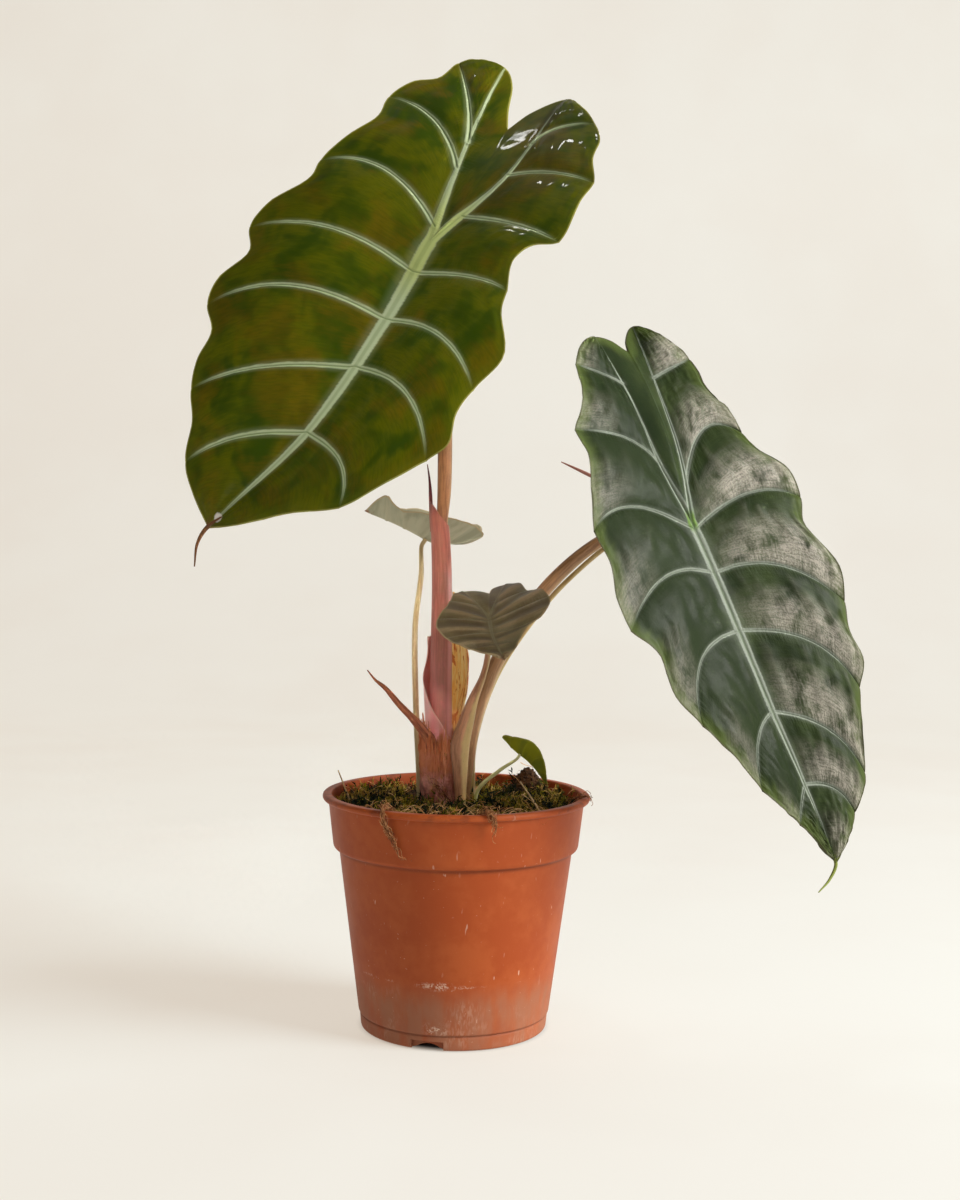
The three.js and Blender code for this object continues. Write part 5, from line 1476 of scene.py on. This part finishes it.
def both_sides(faces, streaks, count):
    """The faces of a sheet's upper and lower side and of its edge, with their streaks."""
    borders = {}
    for face, corners in zip(faces, streaks):
        for k, start in enumerate(face):
            after = (k + 1) % len(face)
            borders[start, face[after]] = (corners[k], corners[after])
    all_faces = faces + [[corner + count for corner in face[::-1]] for face in faces]
    all_streaks = streaks + [corners[::-1] for corners in streaks]
    for (start, end), (a, b) in borders.items():
        if (end, start) not in borders:
            all_faces.append([end, start, start + count, end + count])
            all_streaks.append(np.array([b, a, a, b]))
    return all_faces, all_streaks


def drip_tip(name, leaf):
    """The thin soft tail in which a blade ends, a closed stem inside its tip."""
    joint, tipward, rightward, upward = seat_axes(name)
    stations = []
    for x, y, radius in leaf["drip"]:
        up = bent_sheet(leaf, x, off_middle(leaf, x, y)) - 0.3
        stations.append((*(joint + x * tipward + y * rightward + up * upward), radius))
    points, faces, _ = stem(stations, DRIP_STEPS, DRIP_SIDES)
    return points, faces


TIP_LENGTH = 14
DRIP_STEPS = 40
DRIP_SIDES = 12
DRIP_MARKS = {"tip": 1.0, "spine": 9.0, "vein": 9.0, "spine_share": 1.0, "vein_share": 1.0}


def blade(name, leaf, across, outward):
    """A blade as a closed mesh in its place on the plant, with the marks that its finish reads."""
    halves, places, (bulge, pucker, shoulder), faces, streaks = blade_plan(leaf, across, outward)
    near = near_veins(leaf, halves, places)
    x, y = places.T
    joint, tipward, rightward, upward = seat_axes(name)
    flat = joint + x[:, None] * tipward + y[:, None] * rightward
    heights = blade_faces(name, leaf, places, bulge, pucker, near)
    points = np.vstack([flat + height[:, None] * upward for height in heights])
    faces, streaks = both_sides(faces, streaks, len(places))
    tip_x, tip_y = leaf["midrib"][-1]
    marks = {**near, "tip": np.clip(1 - np.hypot(x - tip_x, y - tip_y) / TIP_LENGTH, 0, 1),
             "shoulder": shoulder, "side": off_middle(leaf, x, y), "crest": pucker,
             "across": np.stack([x, y, 0 * x], axis=-1)}
    marks = {mark: np.concatenate([values, values]) for mark, values in marks.items()}
    marks["under"] = np.repeat([0.0, 1.0], len(places))
    if "drip" in leaf:
        drip_points, drip_faces = drip_tip(name, leaf)
        faces += [[corner + len(points) for corner in face] for face in drip_faces]
        streaks += [np.zeros((len(face), 2)) for face in drip_faces]
        points = np.vstack([points, drip_points])
        for mark, values in marks.items():
            filled = np.full((len(drip_points), *values.shape[1:]), DRIP_MARKS.get(mark, 0.0))
            marks[mark] = np.concatenate([values, filled])
    return piece_of("leaf_" + name, points, faces, marks, streaks, crease=70)


# Leaf tissue: panels of green mottled with blotches and fine streaks, pale veins with a darker groove and a
# feathered edge, a greener margin with a thin rim, and a painted silvery sheen on the panels' shoulders.
# Painted highlights lie on the crests of ripples and painted shade in their dips, and one half can be painted
# darker as shade.
leaf_tissue, recipe, given, out = new_effect(
    "leaf_tissue",
    "Spine, Spine share, Vein, Vein share, Margin, Tip, Under, Shoulder, Side, Crest, "
    "Blotches, Blooming, Far side, Crests, Edging, Joint size, Vein pale, Spine pale, Vein groove, "
    "Spine groove",
    "Green, Deep, Blotch, Pale, Groove, Joint, Rim, End, Below, Bloom, Edge", "Place, Streak",
    {"Color": "Color", "Veins": "Float", "Bloom": "Float", "Streaks": "Float", "Pleats": "Float"})
fine = given["Streak"].stretched(1.0, 7.0, 1.0).speckle(0.9, 3.0)
broad = given["Streak"].stretched(1.0, 4.0, 1.0).speckle(3.4, 3.0)
pleats = given["Streak"].stretched(4.5, 1.0, 1.0).speckle(1.1, 3.0)
grain = given["Streak"].speckle(0.7, 3.0)
patches = given["Place"].speckle(19.0, 2.0, 0.6)
deep = (patches * 0.75 + broad * 0.25).fade(0.4, 0.62).blend(given["Green"], given["Deep"])
rusty = (given["Place"].speckle(30.0, 2.0, 0.7) * 0.75 + broad * 0.25).fade(0.47, 0.62)
blotched = (rusty * given["Blotches"]).blend(deep, given["Blotch"])
# Painted highlights in the sheen colour lie on the crests of the ripples, and painted shade in deep green
# lies in their dips.
crest_highlight = given["Crest"].fade(0.0, 0.8) * given["Crests"]
dip_shade = given["Crest"].fade(0.0, -0.8) * given["Crests"]
ripple_shaded = dip_shade.blend(crest_highlight.blend(blotched, given["Bloom"]), given["Deep"])
# The half left of the middle line is painted darker, as painted shade on the half turned from the lamp.
sided = (given["Side"].fade(2.0, -8.0) * given["Far side"]).blend(ripple_shaded, given["Deep"])
streaked = (fine.fade(0.42, 0.62) * 0.3).blend(sided, given["Deep"])
wavering = given["Margin"] + broad * 6.0
greened = (wavering.fade(10.0, 3.5) * given["Edging"]).blend(streaked, given["Edge"])
# A painted silvery sheen, standing for the lamp's reflection, lies in fine flecks on the panels' shoulders.
crinkled = (fine * 0.5 + grain * 0.5).fade(0.36, 0.62, 0.35, 1.0)
sheen_flecks = crinkled * (pleats * 0.3 + given["Place"].speckle(8.0, 4.0) * 0.7).fade(0.3, 0.58)
sheen_mask = given["Shoulder"] * sheen_flecks * given["Blooming"]
sheened = sheen_mask.blend(greened, given["Bloom"])
# Veins: pale, with a ragged feathered edge and a darker groove along the middle. They green at the joint.
ragged = (fine - 0.5) * 1.1
spine_near = given["Spine"] + ragged * 0.3
lasting = given["Vein share"].fade(1.0, 0.7)
spine_mask = spine_near.fade(1.25, 0.8) * given["Spine share"].fade(1.02, 0.8, 0.35, 1.0)
vein_mask = (given["Vein"] + ragged).fade(1.35, 0.7) * lasting
veins = (spine_mask * given["Spine pale"]).math("MAXIMUM", vein_mask * given["Vein pale"])
fringe = given["Spine"].fade(2.6, 1.0).math("MAXIMUM", given["Vein"].fade(3.2, 1.0) * lasting)
from_joint = recipe.node("ShaderNodeVectorMath", {0: given["Place"]}, "Value", operation="LENGTH")
at_joint = (from_joint / given["Joint size"]).fade(1.2, 0.4)
fringed = (fringe * (given["Vein pale"] * 0.16)).blend(sheened, given["Pale"])
vein_colour = (at_joint * spine_mask).blend(given["Pale"], given["Joint"])
veined = veins.blend(fringed, vein_colour)
vein_groove = given["Vein"].fade(0.5, 0.1) * (lasting * given["Vein groove"])
spine_groove = given["Spine"].fade(0.55, 0.15) * given["Spine groove"]
groove = vein_groove.math("MAXIMUM", spine_groove)
grooved = groove.blend(veined, given["Groove"])
dull = (patches * 0.5 + broad * 0.5).fade(0.4, 0.6)
duller = (dull * 0.4).blend(given["Below"], given["Deep"])
below = (veins * 0.75).blend(duller, given["Pale"])
turned_over = given["Under"].blend(grooved, below)
edged = given["Margin"].fade(0.8, 0.3).blend(turned_over, given["Rim"])
out["Color"] = (given["Tip"] + ragged).fade(0.75, 1.0).blend(edged, given["End"])
out["Veins"] = veins
out["Bloom"] = sheen_mask
out["Streaks"] = fine * 0.4 + grain * 0.6
out["Pleats"] = pleats * given["Vein"].fade(11.0, 1.5)


TISSUE_MARKS = ("Spine", "Spine share", "Vein", "Vein share", "Margin", "Tip", "Under", "Shoulder", "Side",
                "Crest")
TISSUE_SHARES = ("Blotches", "Blooming", "Far side", "Crests", "Edging", "Joint size", "Vein pale",
                 "Spine pale", "Vein groove", "Spine groove")


def blade_finish(name, look, colours):
    """The skin of one blade. The look says how blotched, edged and veined it is, how much painted sheen,
    painted highlight and painted shade it carries, how rough and how glossy it is, and how deep its fine
    streaks and the pleats beside its veins lie in millimetres."""
    material, recipe, shader = new_finish(name, Specular_IOR_Level=look["shine"],
                                          Coat_Roughness=look["coat_roughness"])
    place = recipe.mark("across", "Vector")
    streak = recipe.node("ShaderNodeUVMap", uv_map="streak")
    inputs = {"Place": place, "Streak": streak}
    inputs.update({socket: recipe.mark(socket.lower().replace(" ", "_")) for socket in TISSUE_MARKS})
    inputs.update({socket: look[socket] for socket in TISSUE_SHARES})
    inputs.update({socket: colour(*shade) for socket, shade in colours.items()})
    tissue = recipe.use(leaf_tissue, inputs)
    skin = tissue["Color"]
    if "dried_spot" in look:
        away = recipe.node("ShaderNodeVectorMath", {
            0: place, 1: look["dried_spot"]}, "Value", operation="DISTANCE")
        spot = (away + streak.speckle(1.5)).fade(2.9, 2.2) * (1.0 - inputs["Under"])
        skin = spot.blend(skin, colour(206, 198, 188))
    shader["Base Color"] = skin
    sheen = look["roughness"] + tissue["Bloom"] * look["sheen_roughness"]
    shader["Roughness"] = sheen + (tissue["Veins"] * 0.14 + inputs["Under"] * 0.25)
    shader["Coat Weight"] = place.speckle(7.0, 4.0).fade(0.38, 0.6, 0.35, 1.0) * look["coat"]
    height = tissue["Streaks"] * look["streaks"] + tissue["Pleats"] * look["pleats"]
    shader["Normal"] = height.relief(1.0)
    return material


PLAIN_LOOK = {
    "Blotches": 0.3, "Blooming": 0.3, "Far side": 0.0, "Crests": 0.0, "Edging": 0.5, "Joint size": 3.0,
    "Vein pale": 0.6, "Spine pale": 0.8, "Vein groove": 0.3, "Spine groove": 0.3, "roughness": 0.5,
    "sheen_roughness": 0.1, "shine": 0.3, "coat": 0.0, "coat_roughness": 0.3, "streaks": 0.1, "pleats": 0.2,
}
BLADES = {
    "tall": (TALL_LEAF, (26, 44), "olive_blade", {
        "Blotches": 0.5, "Blooming": 0.0, "Edging": 0.3, "Joint size": 30.0, "Vein pale": 0.85,
        "Spine pale": 0.95, "Vein groove": 0.7, "roughness": 0.45, "sheen_roughness": 0.0, "shine": 0.08,
        "coat": 0.26, "coat_roughness": 0.05, "streaks": 0.05, "pleats": 0.26,
        "dried_spot": (152.0, -18.0, 0.0)}, {
        "Green": (80, 82, 2), "Deep": (46, 62, 2), "Blotch": (100, 76, 6), "Pale": (172, 184, 146),
        "Groove": (92, 110, 56), "Joint": (172, 182, 114), "Rim": (140, 136, 66), "End": (112, 74, 46),
        "Below": (112, 88, 66), "Bloom": (150, 150, 130), "Edge": (96, 96, 14)}),
    "arching": (ARCHING_LEAF, (26, 44), "dark_blade", {
        "Blooming": 0.85, "Far side": 0.8, "Crests": 0.12, "Edging": 0.75, "Joint size": 5.0,
        "Vein pale": 0.75, "Spine pale": 0.85, "Spine groove": 0.7, "sheen_roughness": -0.1, "shine": 0.05,
        "coat": 0.05, "coat_roughness": 0.25, "streaks": 0.16, "pleats": 0.45}, {
        "Green": (50, 60, 35), "Deep": (32, 41, 23), "Blotch": (62, 75, 36), "Pale": (136, 142, 130),
        "Groove": (84, 96, 72), "Joint": (100, 128, 60), "Rim": (74, 74, 50), "End": (124, 132, 66),
        "Below": (100, 80, 72), "Bloom": (168, 161, 149), "Edge": (76, 88, 42)}),
    "back": (BACK_LEAF, (14, 20), "grey_blade", {
        "Blotches": 0.5, "Blooming": 0.4, "Vein pale": 0.5, "Vein groove": 0.2}, {
        "Green": (134, 142, 112), "Deep": (98, 104, 78), "Blotch": (168, 162, 130), "Pale": (196, 192, 162),
        "Groove": (110, 116, 88), "Joint": (150, 160, 100), "Rim": (186, 168, 132), "End": (150, 110, 88),
        "Below": (184, 182, 154), "Bloom": (190, 188, 162), "Edge": (160, 146, 116)}),
    "front": (FRONT_LEAF, (16, 26), "brown_blade", {
        "Crests": 0.75, "Edging": 0.3, "Vein pale": 0.12, "Spine pale": 0.5, "Spine groove": 0.1,
        "streaks": 0.12, "pleats": 0.3}, {
        "Green": (116, 102, 70), "Deep": (80, 68, 44), "Blotch": (132, 108, 72), "Pale": (140, 130, 102),
        "Groove": (56, 48, 34), "Joint": (128, 116, 84), "Rim": (150, 130, 92), "End": (112, 80, 52),
        "Below": (128, 116, 92), "Bloom": (158, 136, 100), "Edge": (96, 88, 58)}),
    "rear": (REAR_LEAF, (14, 20), "grey_blade", {"Spine groove": 0.4, "roughness": 0.45}, {
        "Green": (92, 102, 70), "Deep": (66, 78, 52), "Blotch": (116, 108, 76), "Pale": (168, 172, 140),
        "Groove": (82, 90, 62), "Joint": (130, 150, 80), "Rim": (150, 122, 100), "End": (176, 120, 104),
        "Below": (122, 104, 88), "Bloom": (150, 150, 130), "Edge": (104, 106, 66)}),
    "seedling": (SEEDLING_LEAF, (12, 18), "young_blade", {
        "Blotches": 0.2, "Blooming": 0.0, "Edging": 0.2, "Joint size": 2.0, "Vein pale": 0.25,
        "Spine pale": 0.5, "Vein groove": 0.2, "Spine groove": 0.2, "roughness": 0.4,
        "sheen_roughness": 0.0, "coat": 0.2, "coat_roughness": 0.2, "streaks": 0.06, "pleats": 0.15}, {
        "Green": (228, 212, 22), "Deep": (178, 172, 12), "Blotch": (228, 200, 44), "Pale": (178, 182, 66),
        "Groove": (116, 128, 20), "Joint": (160, 170, 80), "Rim": (160, 158, 60), "End": (120, 90, 44),
        "Below": (124, 132, 36), "Bloom": (140, 140, 60), "Edge": (140, 148, 30)}),
}
for name, (leaf, detail, slot, look, colours) in BLADES.items():
    piece = blade(name, leaf, *detail)
    piece.data.materials.append(blade_finish(f"{slot}_{name}", {**PLAIN_LOOK, **look}, colours))
    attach(piece, "root")
    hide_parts("blade_" + name)

# The studio
# A seamless sweep of pale paper under the pot and up behind it, lit evenly from elsewhere, which its own
# glow stands for. Under the pot and just round its foot the glow is left out, as a painted contact shadow.
# A large soft lamp stands at the right and a little in front, a small one hangs high at the left back, and a
# dim fill and a narrow lamp on the middle stand in front.
SWEEP_FRONT = -1.6
SWEEP_BACK = 1.7
SWEEP_HALF_WIDTH = 2.6
SWEEP_BEND = 0.7
SWEEP_TOP = 2.6
PAPER_DROP = 0.0002
sweep_line = [(SWEEP_FRONT, 0.0)]
for turn in np.linspace(0, math.pi / 2, 24):
    sweep_line.append((SWEEP_BACK - SWEEP_BEND + SWEEP_BEND * math.sin(turn),
                       SWEEP_BEND * (1 - math.cos(turn))))
sweep_line.append((SWEEP_BACK, SWEEP_TOP))
sweep_mesh = bpy.data.meshes.new("paper_sweep")
sweep_points = [(side * SWEEP_HALF_WIDTH, y, z - PAPER_DROP) for y, z in sweep_line for side in (-1, 1)]
sweep_mesh.from_pydata(sweep_points, [], [(2 * n, 2 * n + 1, 2 * n + 3, 2 * n + 2)
                                          for n in range(len(sweep_line) - 1)])
sweep_mesh.shade_smooth()
sweep = bpy.data.objects.new("paper_sweep", sweep_mesh)
bpy.context.scene.collection.objects.link(sweep)
paper, recipe, shader = new_finish("pale_paper", Roughness=0.9, Specular_IOR_Level=0.1, Emission_Strength=1.0)
place = recipe.place()
dull = recipe.use(mottle, {
    "Place": place, "Size": 400.0, "Main": colour(134, 146, 150), "Other": colour(132, 144, 148),
    "Share": 1.0})
glow = recipe.use(mottle, {
    "Place": place, "Size": 700.0, "Main": colour(210, 199, 185), "Other": colour(208, 195, 180),
    "Share": 1.0})
# No glow under the pot and just beyond its foot: a painted contact shadow.
from_pot = recipe.node("ShaderNodeVectorMath", {0: place}, "Value", operation="LENGTH")
shaded = from_pot.fade(BASE_RADIUS - 6, BASE_RADIUS + 3).blend((0.0, 0.0, 0.0, 1.0), glow["Color"])
shader["Base Color"] = dull["Color"]
shader["Emission Color"] = shaded
sweep.data.materials.append(paper)

surround = bpy.data.worlds.new("surround")
surround.use_nodes = True
surround.node_tree.nodes["Background"].inputs["Color"].default_value = colour(255, 251, 244)
surround.node_tree.nodes["Background"].inputs["Strength"].default_value = 0.1
bpy.context.scene.world = surround

LAMPS = {
    "key_softbox": {"at": (1.45, -0.52, 0.9), "aim": (0, 0, 0.2), "size": 0.9, "spread": 180, "power": 54},
    "high_lamp": {"at": (-0.4, 0.5, 2.0), "aim": (0, 0, 0.2), "size": 0.12, "spread": 180, "power": 1.6},
    "front_fill": {"at": (-0.5, -1.7, 1.1), "aim": (0, 0, 0.2), "size": 1.3, "spread": 180, "power": 3.6},
    "middle_lamp": {"at": (0.3, -1.4, 0.9), "aim": (0, 0, 0.25), "size": 0.15, "spread": 11, "power": 0.075},
}
for name, lamp in LAMPS.items():
    light = bpy.data.lights.new(name, "AREA")
    light.shape = "SQUARE"
    light.size = lamp["size"]
    light.spread = math.radians(lamp["spread"])
    light.energy = lamp["power"]
    light.color = (1.0, 0.99, 0.97)
    stand = bpy.data.objects.new(name, light)
    stand.location = lamp["at"]
    stand.rotation_euler = (Vector(lamp["aim"]) - Vector(lamp["at"])).to_track_quat("-Z", "Y").to_euler()
    stand.visible_glossy = name not in ("front_fill", "middle_lamp")
    bpy.context.scene.collection.objects.link(stand)

# The camera stands where the photograph was taken: 0.75 m in front, a little above the middle of the
# plant, looking slightly down, with a 50 mm lens on a 36 mm frame.
CAMERA_AT = Vector((9.3, -745, 230.4)) * MM
CAMERA_DOWN = math.radians(2.97)
CAMERA_ROLL = 0.0146
lens = bpy.data.cameras.new("camera")
lens.lens = 50
lens.sensor_width = 36
lens.clip_start = 0.01
camera = bpy.data.objects.new("camera", lens)
turned_down = Matrix.Rotation(math.pi / 2 - CAMERA_DOWN, 4, "X") @ Matrix.Rotation(CAMERA_ROLL, 4, "Z")
camera.matrix_world = Matrix.Translation(CAMERA_AT) @ turned_down
bpy.context.scene.collection.objects.link(camera)
bpy.context.scene.camera = camera
bpy.context.scene.view_settings.view_transform = "Standard"
